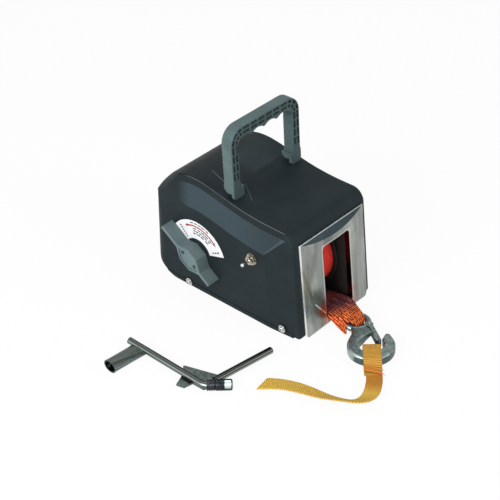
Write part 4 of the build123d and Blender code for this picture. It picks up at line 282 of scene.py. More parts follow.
# Node materials
class Paint:
    """A node material and short calls that add nodes to it."""

    def __init__(self, name, **sockets):
        self.material = bpy.data.materials.new(name)
        self.material.use_nodes = True
        self.tree = self.material.node_tree
        self.shader = self.tree.nodes["Principled BSDF"]
        for key, value in sockets.items():
            self.shader.inputs[key.replace("_", " ")].default_value = value

    def node(self, kind, **sockets):
        """New node; a socket given a node output is linked, and anything else is set."""
        made = self.tree.nodes.new(kind)
        for key, value in sockets.items():
            self.feed(made.inputs[key.replace("_", " ")], value)
        return made

    def feed(self, socket, value):
        """Link or set one socket."""
        if isinstance(value, bpy.types.NodeSocket):
            self.tree.links.new(value, socket)
        else:
            socket.default_value = value

    def coordinates(self, output):
        """A texture coordinate of the object: Object in metres, Normal, or UV in metres."""
        return self.node("ShaderNodeTexCoord").outputs[output]

    def place(self, scale=(1.0, 1.0, 1.0), turn=(0.0, 0.0, 0.0)):
        """Object coordinates in metres, scaled and turned."""
        source = self.coordinates("Object")
        mapping = self.node("ShaderNodeMapping", Vector=source, Scale=scale, Rotation=turn)
        return mapping.outputs["Vector"]

    def measure(self, output, direction):
        """A texture coordinate measured along a fixed direction."""
        made = self.tree.nodes.new("ShaderNodeVectorMath")
        made.operation = "DOT_PRODUCT"
        self.feed(made.inputs[0], self.coordinates(output))
        made.inputs[1].default_value = Vector(direction).normalized()
        return made.outputs["Value"]

    def facing(self, direction):
        """How far the object's surface faces a fixed direction, from -1 to 1."""
        return self.measure("Normal", direction)

    def noise(self, scale, detail=3.0, rough=0.55, vector=None):
        """Noise value between 0 and 1."""
        made = self.node("ShaderNodeTexNoise", Scale=scale, Detail=detail, Roughness=rough)
        self.feed(made.inputs["Vector"], vector or self.place())
        return made.outputs["Fac"]

    def ramp(self, factor, *stops):
        """Colour ramp; each stop is a position and a colour."""
        made = self.node("ShaderNodeValToRGB", Fac=factor)
        elements = made.color_ramp.elements
        while len(elements) < len(stops):
            elements.new(0.5)
        for element, (position, colour) in zip(elements, stops):
            element.position = position
            element.color = (*colour, 1.0)
        return made.outputs["Color"]

    def levels(self, factor, low, high):
        """Factor mapped from 0..1 to low..high."""
        made = self.node("ShaderNodeMapRange", Value=factor, To_Min=low, To_Max=high)
        return made.outputs["Result"]

    def step(self, value, low, high):
        """Smooth step from 0 at low to 1 at high; low above high steps down."""
        made = self.node("ShaderNodeMapRange", Value=value, From_Min=low, From_Max=high)
        made.interpolation_type = "SMOOTHSTEP"
        return made.outputs["Result"]

    def band(self, value, low, high, soft):
        """1 between low and high, with soft ends outside them."""
        return self.product(self.step(value, low - soft, low), self.step(value, high + soft, high))

    def line(self, start, end, half_width):
        """1 along a line seen from above, with its ends in millimetres and its half width in metres."""
        origin = MM * Vector((*start, 0.0))
        run = MM * Vector((*end, 0.0)) - origin
        across = Vector((-run.y, run.x, 0.0)).normalized()
        ahead = self.math("SUBTRACT", self.measure("Object", run), origin.dot(run.normalized()))
        aside = self.math("SUBTRACT", self.measure("Object", across), origin.dot(across))
        within = self.band(ahead, 0.0, run.length, 4 * half_width)
        return self.product(within, self.band(aside, -half_width, half_width, half_width))

    def math(self, operation, *values):
        """Math node."""
        made = self.tree.nodes.new("ShaderNodeMath")
        made.operation = operation
        for socket, value in zip(made.inputs, values):
            self.feed(socket, value)
        return made.outputs["Value"]

    def product(self, first, *others):
        """Product of all the values."""
        for other in others:
            first = self.math("MULTIPLY", first, other)
        return first

    def round_share(self, direction):
        """Way round a rod, from 0 on the side away from a direction to 1 on the side towards it."""
        return self.math("MULTIPLY_ADD", self.facing(direction), 0.5, 0.5)

    def mix(self, factor, first, second):
        """Mix of two colours."""
        made = self.tree.nodes.new("ShaderNodeMix")
        made.data_type = "RGBA"
        self.feed(made.inputs[0], factor)
        for socket, value in ((made.inputs[6], first), (made.inputs[7], second)):
            self.feed(socket, (*value, 1.0) if isinstance(value, tuple) else value)
        return made.outputs[2]

    def colour(self, value):
        self.feed(self.shader.inputs["Base Color"], value)

    def roughness(self, value):
        self.feed(self.shader.inputs["Roughness"], value)

    def bump(self, height, distance):
        """Bump of a height in metres, over any bump that is already there."""
        made = self.node("ShaderNodeBump", Height=height, Distance=distance, Strength=1.0)
        normal = self.shader.inputs["Normal"]
        if normal.is_linked:
            self.feed(made.inputs["Normal"], normal.links[0].from_socket)
        self.feed(normal, made.outputs["Normal"])


# Plastics and paint
def plastic(name, dark, light, rough, grain, grain_height, specular=0.35):
    """Moulded plastic with a fine grain and faint clouding."""
    paint = Paint(name, Specular_IOR_Level=specular)
    cloud = paint.noise(28.0, 4.0)
    paint.colour(paint.ramp(cloud, (0.3, dark), (0.75, light)))
    paint.roughness(paint.levels(paint.noise(60.0, 5.0), rough - 0.07, rough + 0.09))
    paint.bump(paint.noise(grain, 2.0), grain_height)
    return paint.material


def painted_light_band(paint, base):
    """Painted light: a lighter slate band along the flared part of both sides, with a painted highlight on
    a paler facet at its front end.
    """
    x = paint.measure("Object", X_AXIS)
    z = paint.measure("Object", Z_AXIS)
    sidewall = paint.step(paint.math("ABSOLUTE", paint.facing(Y_AXIS)), 0.965, 0.985)
    flare = paint.band(paint.facing(Z_AXIS), 0.06, 0.095, 0.015)
    rising = paint.math("MULTIPLY_ADD", x, LIT_BAND_RISE, z)
    lower_edge = paint.step(rising, *LIT_BAND_LOWER_EDGE)
    # painted light on the flared sides, lighter where they face slightly up
    flared = paint.product(flare, sidewall, paint.step(x, *LIT_BAND_REAR), lower_edge)
    speckle = paint.noise(700.0, 3.0)
    lit_tone = paint.ramp(speckle, (0.3, (0.035, 0.053, 0.063)), (0.7, (0.043, 0.065, 0.077)))
    forward = paint.math("MULTIPLY_ADD", z, LIT_FACET_LEAN, x)
    # painted highlight on the facet at the band's front end
    lit_tone = paint.mix(paint.step(forward, *LIT_FACET_EDGE), lit_tone, (0.075, 0.095, 0.105))
    lit_tone = paint.mix(paint.product(paint.step(x, *LIT_BAND_FRONT_FADE), 0.4), lit_tone, base)
    return paint.mix(flared, base, lit_tone)


def roof_marks(paint, body):
    """Roof with painted shade on its rear slope and a painted sheen behind the handle, with creases and a
    painted highlight along both edges.
    """
    x = paint.measure("Object", X_AXIS)
    y = paint.measure("Object", Y_AXIS)
    upward = paint.facing(Z_AXIS)
    roof = paint.step(upward, 0.6, 0.8)
    # painted shade on the roof's rear slope
    rear_slope = paint.step(paint.facing(X_AXIS), -0.05, -0.28)
    body = paint.mix(paint.product(rear_slope, roof, 0.7), body, (0.003, 0.005, 0.006))
    # painted sheen on the roof behind the handle
    sheen = paint.product(paint.step(x, *SHEEN_REAR), paint.step(x, *SHEEN_FRONT))
    sheen = paint.product(sheen, paint.band(y, *SHEEN_SIDES), roof)
    body = paint.mix(sheen, body, (0.0255, 0.0370, 0.0410))
    for start, end, strength in ROOF_CREASES:
        crease = paint.line(start, end, ROOF_CREASE_WIDTH / 2 * MM)
        body = paint.mix(paint.product(crease, roof, strength), body, HIGHLIGHT_AND_CREASE_TONE)
    # painted highlight along the roof's rounded edges
    rounding = paint.product(paint.math("ABSOLUTE", paint.facing(Y_AXIS)), upward)
    edge = paint.product(paint.band(rounding, 0.488, 0.60, 0.012), paint.band(x, *HIGHLIGHT_LINE_LENGTH))
    return paint.mix(paint.product(edge, 0.7), body, HIGHLIGHT_AND_CREASE_TONE)


def housing_plastic():
    """Charcoal plastic with painted light: a lighter slate band along the flared sides, and marks on the
    roof with painted shade, sheen and highlight.
    """
    paint = Paint("housing_plastic_look", Specular_IOR_Level=0.06)
    cloud = paint.noise(24.0, 4.0)
    base = paint.ramp(cloud, (0.3, (0.0130, 0.0195, 0.0220)), (0.75, (0.0180, 0.0265, 0.0300)))
    paint.colour(roof_marks(paint, painted_light_band(paint, base)))
    paint.roughness(paint.levels(paint.noise(60.0, 5.0), 0.38, 0.55))
    paint.bump(paint.noise(2600.0, 2.0), 0.00004)
    return paint.material


def handle_plastic():
    """Grey plastic, darker on the side with the rib pockets."""
    paint = Paint("handle_plastic_look", Specular_IOR_Level=0.15)
    cloud = paint.noise(40.0, 5.0)
    tone = paint.ramp(cloud, (0.3, (0.070, 0.106, 0.110)), (0.75, (0.104, 0.150, 0.154)))
    ribbed = paint.step(paint.facing(X_AXIS), 0.4, 0.9)
    paint.colour(paint.mix(paint.product(ribbed, 0.6), tone, (0.030, 0.046, 0.047)))
    paint.roughness(paint.levels(paint.noise(60.0, 5.0), 0.43, 0.59))
    paint.bump(paint.noise(900.0, 3.0), 0.0001)
    return paint.material


def dark_paint(name, dark, light):
    """Dull black paint on sheet steel."""
    return plastic(name, dark, light, 0.5, 1500.0, 0.00003, 0.1)


def decal_film():
    """White printed film, faintly clouded."""
    return plastic("decal_film_look", (0.74, 0.75, 0.76), (0.84, 0.85, 0.86), 0.45, 900.0, 0.00001)


def print_ink(name, colour):
    """Screen printed ink, thin and slightly uneven."""
    pale = tuple(min(1.0, 1.5 * level + 0.02) for level in colour)
    return plastic(name, colour, pale, 0.55, 1500.0, 0.00001)


# Metals
def metal(name, dark, light, rough, scale=220.0):
    """Metal with mottled tone and faint staining."""
    paint = Paint(name, Metallic=1.0)
    mottle = paint.noise(scale, 4.0)
    stain = paint.levels(paint.noise(35.0, 5.0), 0.0, 0.35)
    tone = paint.ramp(mottle, (0.3, dark), (0.7, light))
    paint.colour(paint.mix(stain, tone, tuple(0.6 * level for level in dark)))
    paint.roughness(paint.levels(mottle, rough - 0.05, rough + 0.1))
    paint.bump(mottle, 0.00003)
    return paint.material


def plate_edge_light(paint, tone, lip):
    """Painted dark reflection on the lip at the plate's top, painted highlights on the pale rolled edges
    and the slot's pale rim, and painted shade on its dark far side.
    """
    y = paint.measure("Object", Y_AXIS)
    z = paint.measure("Object", Z_AXIS)
    low_corner, high_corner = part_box("fairlead_plate")
    pale = (0.80, 0.83, 0.80)
    # painted dark reflection on the lip at the plate's top
    tone = paint.mix(lip, tone, (0.034, 0.048, 0.055))
    # painted highlight along the lip's top edge
    top_line = paint.step(z, *(high_corner[2] + offset for offset in PLATE_TOP_LINE))
    tone = paint.mix(paint.product(lip, top_line, 0.5), tone, pale)
    # painted highlight along the near rolled edge
    near_line = paint.step(y, *(low_corner[1] + offset for offset in PLATE_NEAR_LINE))
    tone = paint.mix(near_line, tone, pale)
    # painted highlight on the slot's rim
    rim_sides = paint.math("ADD", paint.band(y, *SLOT_RIM_NEAR), paint.band(y, *SLOT_RIM_FAR))
    rim_sides = paint.product(rim_sides, paint.step(z, *SLOT_SIDES_END))
    rim_top = paint.product(paint.band(z, *SLOT_RIM_TOP), paint.band(y, *SLOT_RIM_TOP_SPAN))
    rim = paint.product(paint.math("MAXIMUM", rim_sides, rim_top), 0.6)
    tone = paint.mix(rim, tone, (0.60, 0.63, 0.59))
    # painted shade on the slot's turned-in far side
    inward = paint.step(paint.facing((0.0, -1.0, 0.0)), 0.45, 0.85)
    turned_in = paint.product(inward, paint.step(y, *SLOT_RETURN))
    return paint.mix(turned_in, tone, (0.050, 0.030, 0.026))


def plate_stains_and_glint(paint, tone):
    """Brown streak, darker grey patch, painted bright glint and a red patch, beside the slot."""
    y = paint.measure("Object", Y_AXIS)
    z = paint.measure("Object", Z_AXIS)
    leaning = paint.math("MULTIPLY_ADD", z, BROWN_LEAN, y)
    brown = paint.product(paint.band(leaning, *BROWN_STREAK), paint.band(z, *BROWN_HEIGHT), 0.6)
    tone = paint.mix(brown, tone, (0.20, 0.135, 0.065))
    grey = paint.product(paint.band(y, *DARK_PATCH), paint.band(z, *DARK_PATCH_HEIGHT), 0.55)
    tone = paint.mix(grey, tone, (0.060, 0.075, 0.080))
    # painted glint highlight on the plate
    crossing = paint.math("MULTIPLY_ADD", y, GLINT_LEAN, z)
    glint = paint.product(paint.band(crossing, *GLINT), paint.band(y, *GLINT_SPAN))
    tone = paint.mix(glint, tone, (0.95, 0.97, 0.95))
    beside = paint.product(paint.band(y, *RED_PATCH), paint.band(z, *RED_PATCH_HEIGHT))
    patch = paint.product(beside, paint.step(paint.noise(60.0, 3.0), 0.40, 0.62), 0.75)
    return paint.mix(patch, tone, (0.42, 0.10, 0.05))


def plate_steel():
    """Bright rolled plate: upright streaks, pale clouds, painted light at the edges, stains and a painted
    glint.
    """
    paint = Paint("plate_steel_look", Metallic=1.0)
    streak = paint.noise(5.0, 3.0, vector=paint.place((20.0, 20.0, 1.6)))
    greys = (0.25, (0.15, 0.16, 0.15)), (0.5, (0.225, 0.24, 0.225)), (0.75, (0.32, 0.34, 0.32))
    cloud = paint.noise(26.0, 3.0, vector=paint.place((1.0, 1.0, 0.4)))
    tone = paint.mix(paint.step(cloud, 0.46, 0.72), paint.ramp(streak, *greys), (0.42, 0.44, 0.41))
    lip = paint.step(paint.facing(Z_AXIS), 0.12, 0.28)
    paint.colour(plate_stains_and_glint(paint, plate_edge_light(paint, tone, lip)))
    paint.roughness(paint.levels(streak, 0.20, 0.34))
    paint.bump(paint.product(streak, paint.math("SUBTRACT", 1.0, lip)), 0.00003)
    return paint.material


def hook_zinc():
    """Zinc plated forging: mottled, with painted shade down its walls and a painted highlight on the
    rounded near edges.
    """
    paint = Paint("hook_zinc_look", Metallic=1.0)
    mottle = paint.noise(190.0, 6.0, 0.65)
    greys = (0.3, (0.085, 0.115, 0.112)), (0.55, (0.17, 0.215, 0.207)), (0.8, (0.30, 0.36, 0.35))
    # painted shade down the hook's walls
    shaded_wall = paint.step(paint.facing(Z_AXIS), 0.55, -0.05)
    tone = paint.mix(paint.product(shaded_wall, 0.65), paint.ramp(mottle, *greys), (0.055, 0.072, 0.076))
    # painted highlight on the rounded near edges
    bright = paint.band(paint.facing((-0.55, -0.65, 0.55)), 0.74, 0.92, 0.08)
    paint.colour(paint.mix(paint.product(bright, 0.7), tone, (0.46, 0.53, 0.52)))
    paint.roughness(paint.levels(mottle, 0.26, 0.46))
    paint.bump(paint.noise(420.0, 3.0), 0.00008)
    return paint.material


def rod_steel(name, direction, *reflection_bands):
    """Polished dark rod with small stains; its painted reflection bands of grey run round it towards a
    direction.
    """
    paint = Paint(name, Metallic=1.0)
    stops = [(place, (0.84 * grey, grey, 0.93 * grey)) for place, grey in reflection_bands]
    # painted reflection bands round the rod
    tone = paint.ramp(paint.round_share(direction), *stops)
    stain = paint.noise(90.0, 5.0, 0.6)
    paint.colour(paint.mix(paint.levels(stain, 0.0, 0.30), tone, (0.10, 0.092, 0.078)))
    paint.roughness(paint.levels(stain, 0.16, 0.30))
    paint.bump(paint.noise(260.0, 3.0), 0.00003)
    return paint.material


def arm_steel():
    """Steel of the crank's bent arm, with painted reflection bands."""
    lower = (0.03, 0.015), (0.10, 0.06), (0.18, 0.24), (0.30, 0.12), (0.40, 0.60)
    upper = (0.50, 0.18), (0.66, 0.080), (0.80, 0.15), (0.90, 0.05), (0.98, 0.012)
    return rod_steel("crank_arm_look", (0.0, 0.70, 0.71), *lower, *upper)


def drive_steel():
    """Steel of the crank's drive rod, with painted reflection bands."""
    lower = (0.03, 0.02), (0.12, 0.36), (0.22, 0.24), (0.32, 0.03)
    upper = (0.62, 0.05), (0.86, 0.016), (0.98, 0.01)
    return rod_steel("crank_drive_look", (-0.65, 0.11, 0.75), *lower, *upper)


def grip_steel():
    """Grip's dark plating: painted reflection bands, pale and dark, along it, and fine ridges across one of
    them.
    """
    paint = Paint("crank_grip_look", Metallic=1.0)
    share = paint.round_share((0.7, 0.0, -0.7))
    # painted reflection bands along the grip
    tone = paint.ramp(
        share,
        (0.02, (0.020, 0.024, 0.023)), (0.14, (0.085, 0.105, 0.092)), (0.26, (0.13, 0.165, 0.148)),
        (0.36, (0.075, 0.068, 0.052)), (0.50, (0.030, 0.044, 0.046)), (0.66, (0.045, 0.060, 0.062)),
        (0.76, (0.26, 0.31, 0.285)), (0.86, (0.050, 0.060, 0.056)), (0.97, (0.28, 0.33, 0.31)),
    )
    y = paint.measure("Object", Y_AXIS)
    wave = paint.math("SINE", paint.product(y, 2 * math.pi / (MM * GRIP_RIDGE_PITCH)))
    ridges = paint.product(paint.step(wave, -0.2, 0.8), paint.band(share, 0.42, 0.68, 0.04))
    paint.colour(paint.mix(paint.product(ridges, 0.55), tone, (0.11, 0.145, 0.15)))
    paint.roughness(paint.levels(paint.noise(90.0, 5.0), 0.18, 0.34))
    paint.bump(ridges, 0.0004)
    return paint.material


def sleeve_steel():
    """Black sleeve with a painted highlight at its end."""
    paint = Paint("crank_sleeve_look", Metallic=1.0)
    start = Vector((*SLEEVE_START, 0.0))
    axis = (Vector((*SLEEVE_END, 0.0)) - start).normalized()
    reach = paint.math("SUBTRACT", paint.measure("Object", axis), MM * start.dot(axis))
    stain = paint.noise(160.0, 4.0)
    black = paint.ramp(stain, (0.3, (0.012, 0.014, 0.018)), (0.7, (0.035, 0.042, 0.052)))
    # painted highlight on the sleeve's end, on its upper near side
    end_highlight = paint.band(reach, *(MM * value for value in SLEEVE_HIGHLIGHT))
    end_highlight = paint.product(end_highlight, paint.step(paint.facing(SLEEVE_HIGHLIGHT_SIDE), 0.52, 0.90))
    paint.colour(paint.mix(end_highlight, black, (0.64, 0.72, 0.70)))
    paint.roughness(paint.levels(stain, 0.18, 0.36))
    paint.bump(stain, 0.00004)
    return paint.material


# Materials of the CAD nodes
def give(material, *names):
    """Material on whole CAD nodes."""
    for name in names:
        for slot in nodes[name].material_slots:
            slot.material = material


def dress_plastics():
    """Materials of the plastic and painted nodes."""
    give(housing_plastic(), "housing_shell")
    give(handle_plastic(), "handle")
    knob_tones = (0.110, 0.158, 0.165), (0.145, 0.200, 0.208)
    give(plastic("knob_plastic_look", *knob_tones, 0.5, 1800.0, 0.00008, 0.2), "clutch_knob")
    black = dark_paint("black_steel_look", (0.028, 0.029, 0.031), (0.045, 0.046, 0.048))
    give(black, "base_pan", "motor_cradle")
    inner = dark_paint("inner_steel_look", (0.030, 0.029, 0.029), (0.048, 0.046, 0.046))
    give(inner, "gear_frame", "motor_frame", "carrier_plate", "drum_spool")
    motor = plastic("motor_paint_look", (0.02, 0.02, 0.022), (0.035, 0.035, 0.037), 0.4, 900.0, 0.00004)
    give(motor, "motor_can", "motor_cap")
    magnet = plastic("magnet_look", (0.02, 0.02, 0.02), (0.04, 0.04, 0.04), 0.7, 700.0, 0.00008)
    give(magnet, "motor_magnets")
    give(decal_film(), "clutch_decal")


def dress_metals():
    """Materials of the bare metal nodes."""
    give(plate_steel(), "fairlead_plate")
    screw = metal("bright_screw_look", (0.50, 0.50, 0.48), (0.78, 0.77, 0.74), 0.22)
    give(screw, "side_screws", "side_washers", "frame_screws", "pillar_screws", "motor_screws")
    give(metal("dark_screw_look", (0.030, 0.034, 0.035), (0.07, 0.078, 0.08), 0.4), "knob_screws")
    shaft = metal("shaft_steel_look", (0.45, 0.45, 0.45), (0.62, 0.62, 0.61), 0.28)
    give(shaft, "tie_rods", "frame_pillars", "gear_shafts", "drum_shaft", "crank_socket")
    give(shaft, "clutch_spindle", "fork_guide", "handle_pins", "latch_pin")
    gear = metal("gear_steel_look", (0.32, 0.32, 0.32), (0.50, 0.50, 0.49), 0.35)
    give(gear, "drum_gear", "middle_gear", "clutch_gear", "motor_rotor", "shift_fork")
    give(metal("bush_brass_look", (0.55, 0.40, 0.18), (0.75, 0.58, 0.30), 0.3), "drum_bushes")
    switch = metal("switch_metal_look", (0.30, 0.26, 0.20), (0.78, 0.74, 0.66), 0.2, scale=300.0)
    give(switch, "switch_body", "switch_nut")
    give(metal("lever_metal_look", (0.40, 0.42, 0.41), (0.72, 0.74, 0.72), 0.25), "switch_lever")
    give(hook_zinc(), "hook", "hook_latch")
    give(arm_steel(), "crank_arm")
    give(drive_steel(), "crank_drive_rod")
    give(sleeve_steel(), "crank_sleeve")
    give(grip_steel(), "crank_grip")
    give(metal("gusset_steel_look", (0.085, 0.108, 0.100), (0.185, 0.220, 0.205), 0.4), "crank_gusset")


# Webbing
def thread_bricks(paint):
    """Brick pattern of threads along a strap: threads of two tones with dark gaps, from 0 to 1."""
    across = paint.measure("UV", X_AXIS)
    along = paint.measure("UV", Y_AXIS)
    flow = paint.node("ShaderNodeCombineXYZ", X=along, Y=across)
    bricks = paint.node(
        "ShaderNodeTexBrick",
        Vector=flow.outputs["Vector"],
        Scale=1.0,
        Brick_Width=MM * THREAD_LENGTH,
        Row_Height=MM * THREAD_ROW,
        Mortar_Size=MM * THREAD_GAP,
        Mortar_Smooth=0.5,
        Color1=WHITE,
        Color2=(0.55, 0.55, 0.55, 1.0),
        Mortar=(0.0, 0.0, 0.0, 1.0),
    )
    return paint.node("ShaderNodeRGBToBW", Color=bricks.outputs["Color"]).outputs["Val"]


def red_webbing(name, shade, bright, dark_to, bright_from):
    """Winch webbing: bricks of thread, with painted shade in maroon up to one x and painted light, bright,
    from another, in metres.
    """
    paint = Paint(name, Specular_IOR_Level=0.2, Roughness=0.8)
    level = thread_bricks(paint)
    thread = paint.noise(1400.0, 3.0)
    tone = paint.math("MULTIPLY_ADD", level, 0.75, paint.product(thread, 0.30))
    # painted shade and painted light: shaded maroon tones and lit tones of the same webbing, lit towards
    # the front and near side
    shaded_maroons = (0.25, (0.016, 0.005, 0.007)), (0.62, (0.150, 0.042, 0.050)), (0.95, (0.36, 0.090, 0.090))
    lit_tones = (0.25, shade), (0.62, tuple(0.7 * channel for channel in bright)), (0.95, bright)
    x = paint.measure("Object", X_AXIS)
    y = paint.measure("Object", Y_AXIS)
    nearward = paint.math("MULTIPLY_ADD", y, -0.35, x)
    wander = paint.math("MULTIPLY_ADD", paint.noise(70.0, 3.0), 0.010, nearward)
    lit = paint.step(wander, dark_to, bright_from)
    paint.colour(paint.mix(lit, paint.ramp(tone, *shaded_maroons), paint.ramp(tone, *lit_tones)))
    paint.bump(level, 0.0005)
    paint.bump(thread, 0.00012)
    return paint.material


def yellow_webbing(name, tones, slant, row, worn_from, worn_to):
    """Pull webbing: slanted rows of thread across it, browner from one length along it to another."""
    paint = Paint(name, Specular_IOR_Level=0.2, Roughness=0.75)
    across = paint.measure("UV", X_AXIS)
    along = paint.measure("UV", Y_AXIS)
    leaning = paint.math("MULTIPLY_ADD", across, slant, along)
    rows = paint.math("SINE", paint.product(leaning, 2 * math.pi / row))
    warps = paint.math("SINE", paint.product(across, 2 * math.pi / (0.6 * row)))
    level = paint.math("MULTIPLY_ADD", paint.math("MULTIPLY_ADD", warps, 0.3, rows), 0.38, 0.5)
    thread = paint.noise(1500.0, 3.0)
    tone = paint.math("MULTIPLY_ADD", level, 0.7, paint.product(thread, 0.3))
    dark, middle, light = tones
    body = paint.ramp(tone, (0.1, dark), (0.55, middle), (0.95, light))
    browns = (0.1, (0.20, 0.065, 0.006)), (0.55, (0.46, 0.180, 0.020)), (0.95, (0.70, 0.33, 0.06))
    body = paint.mix(paint.step(along, worn_from, worn_to), body, paint.ramp(tone, *browns))
    soil = paint.levels(paint.noise(45.0, 3.0), 0.0, 0.25)
    paint.colour(paint.mix(soil, body, (0.46, 0.21, 0.02)))
    paint.bump(level, 0.0006)
    paint.bump(thread, 0.0001)
    return paint.material


def stitch_thread():
    """Bright orange sewing thread, twisted."""
    paint = Paint("stitch_thread_look", Specular_IOR_Level=0.3, Roughness=0.6)
    turned = paint.place(turn=(0.0, 0.0, 0.6))
    twist = paint.node("ShaderNodeTexWave", Scale=900.0, Distortion=2.0, Vector=turned).outputs["Fac"]
    paint.colour(paint.ramp(twist, (0.2, (0.62, 0.14, 0.02)), (0.8, (0.95, 0.36, 0.09))))
    paint.bump(twist, 0.0002)
    return paint.material


# Meshes
def add_piece(name, made, material, body, slot, *replaced):
    """Object from a finished bmesh, with its material, body and the nodes it stands for; the slot is not
    used.
    """
    bmesh.ops.recalc_face_normals(made, faces=made.faces)
    mesh = bpy.data.meshes.new(name)
    made.to_mesh(mesh)
    made.free()
    mesh.materials.append(material)
    mesh.set_sharp_from_angle(angle=math.radians(SHARP_ANGLE))
    piece = bpy.data.objects.new(name, mesh)
    scene.collection.objects.link(piece)
    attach(piece, body)
    if replaced:
        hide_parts(*replaced)
    return piece


def smooth_step(share):
    """Smooth rise from 0 to 1."""
    share = min(max(share, 0.0), 1.0)
    return share * share * (3 - 2 * share)


def smooth_rows(rows, steps):
    """Rows of numbers on a smooth curve through the given rows, in steps for each gap."""
    result = []
    last = len(rows) - 1
    for index in range(last):
        four = (rows[max(index - 1, 0)], rows[index], rows[index + 1], rows[min(index + 2, last)])
        for step in range(steps):
            t = step / steps
            row = []
            for a, b, c, d in zip(*four):
                bend = (2 * a - 5 * b + 4 * c - d) * t ** 2 + (3 * b - a - 3 * c + d) * t ** 3
                row.append(b + 0.5 * ((c - a) * t + bend))
            result.append(row)
    result.append(list(rows[last]))
    return result


def headings(points):
    """Direction of a path at each of its points."""
    last = len(points) - 1
    found = []
    for index in range(last + 1):
        found.append((points[min(index + 1, last)] - points[max(index - 1, 0)]).normalized())
    return found


def lengths_along(points):
    """Length along a path to each of its points."""
    found = [0.0]
    for before, after in zip(points, points[1:]):
        found.append(found[-1] + (after - before).length)
    return found


def spokes(axis, count):
    """Unit vectors round an axis, at equal angles."""
    first = axis.orthogonal().normalized()
    second = axis.cross(first)
    turns = [2 * math.pi * k / count for k in range(count)]
    return [math.cos(turn) * first + math.sin(turn) * second for turn in turns]


Station = namedtuple("Station", "middle side half droop shift", defaults=(0.0, 0.0))


def strap_section(half, thickness, columns, ribs, rib_depth):
    """Outline of a strap's section as across and up: two broad faces and two round selvedges."""
    core = max(half - thickness / 2, 0.2 * half)
    edge = half - core
    broad = []
    for column in range(columns + 1):
        share = 2 * column / columns - 1
        rib = rib_depth * math.cos(math.pi * ribs * share)
        broad.append((share * core, thickness / 2 + rib))
    selvedge = []
    for angle in (60, 30, 0, -30, -60):
        turn = math.radians(angle)
        selvedge.append((core + edge * math.cos(turn), thickness / 2 * math.sin(turn)))
    under = [(across, -up) for across, up in reversed(broad)]
    far_selvedge = [(-across, -up) for across, up in selvedge]
    return broad + selvedge + under + far_selvedge


def strap_mesh(stations, thickness, columns=12, ribs=0, rib_depth=0.0):
    """Closed strap through stations in millimetres, with UV in metres across and along it."""
    made = bmesh.new()
    layer = made.loops.layers.uv.new("UVMap")
    middles = [station.middle for station in stations]
    rings = []
    for station, heading, along in zip(stations, headings(middles), lengths_along(middles)):
        up = heading.cross(station.side).normalized()
        ring = []
        for across, height in strap_section(station.half, thickness, columns, ribs, rib_depth):
            share = across / station.half
            lift = height - station.droop * share * share
            point = station.middle + across * station.side + lift * up + station.shift * share * heading
            ring.append((made.verts.new(MM * point), (MM * across, MM * along)))
        rings.append(ring)
    skins = []
    for first, second in zip(rings, rings[1:]):
        for k in range(len(first)):
            skins.append((first[k - 1], first[k], second[k], second[k - 1]))
    for corners in skins + [rings[0], rings[-1]]:
        face = made.faces.new([vertex for vertex, place in corners])
        face.smooth = len(corners) == 4
        for loop, (vertex, place) in zip(face.loops, corners):
            loop[layer].uv = place
    return made


def add_tube(made, points, radius, sides=8):
    """Round thread through points in millimetres, closed at both ends."""
    rings = []
    for point, heading in zip(points, headings(points)):
        ring = [made.verts.new(MM * (point + radius * out)) for out in spokes(heading, sides)]
        rings.append(ring)
    for one, two in zip(rings, rings[1:]):
        for k in range(sides):
            made.faces.new((one[k - 1], one[k], two[k], two[k - 1])).smooth = True
    made.faces.new(rings[0])
    made.faces.new(rings[-1])


# Winch strap
def wind_strap():
    """Strap wound on the drum from the hub out to where it leaves."""
    stations = []
    count = int(ROLL_TURNS * ROLL_STEPS)
    for step in range(count + 1):
        left = ROLL_TURNS * (1 - step / count)
        radius = ROLL_RADIUS - ROLL_PITCH * left
        angle = math.radians(ROLL_END_ANGLE - 360 * left)
        middle = Vector((DRUM_X + radius * math.cos(angle), 0.0, DRUM_Z + radius * math.sin(angle)))
        stations.append(Station(middle, Vector((0.0, -1.0, 0.0)), STRAP_HALF_WIDTH))
    mesh = strap_mesh(stations, STRAP_THICKNESS, ROLL_COLUMNS)
    look = red_webbing("strap_roll_webbing", (0.62, 0.036, 0.028), (0.95, 0.050, 0.036), -0.2, -0.1)
    add_piece("strap_winding", mesh, look, "drum", "red_webbing", "strap_core", "strap_roll")


def lead_tongue():
    """Strap from the drum out of the slot, gathered through the hook's eye."""
    stations = []
    for x, y, z, half, droop in smooth_rows(LEAD_TONGUE, LEAD_STEPS):
        stations.append(Station(Vector((x, y, z)), Vector(Y_AXIS), half, droop))
    mesh = strap_mesh(stations, STRAP_THICKNESS, STRAP_COLUMNS, STRAP_RIBS, STRAP_RIB_DEPTH)
    look = red_webbing("strap_lead_webbing", (0.09, 0.005, 0.005), (1.0, 0.22, 0.046), 0.152, 0.180)
    add_piece("strap_tongue", mesh, look, "base", "red_webbing", "strap_lead")


def lead_flap():
    """Near edge of the strap, folded down beside the hook's eye."""
    stations = []
    for outer, inner in zip(smooth_rows(FLAP_OUTER, LEAD_STEPS), smooth_rows(FLAP_INNER, LEAD_STEPS)):
        across = Vector(inner) - Vector(outer)
        middle = (Vector(inner) + Vector(outer)) / 2
        stations.append(Station(middle, across.normalized(), across.length / 2))
    mesh = strap_mesh(stations, FLAP_THICKNESS)
    look = red_webbing("strap_flap_webbing", (0.20, 0.010, 0.008), (0.98, 0.19, 0.040), 0.140, 0.150)
    add_piece("strap_flap", mesh, look, "base", "red_webbing", "strap_lead")


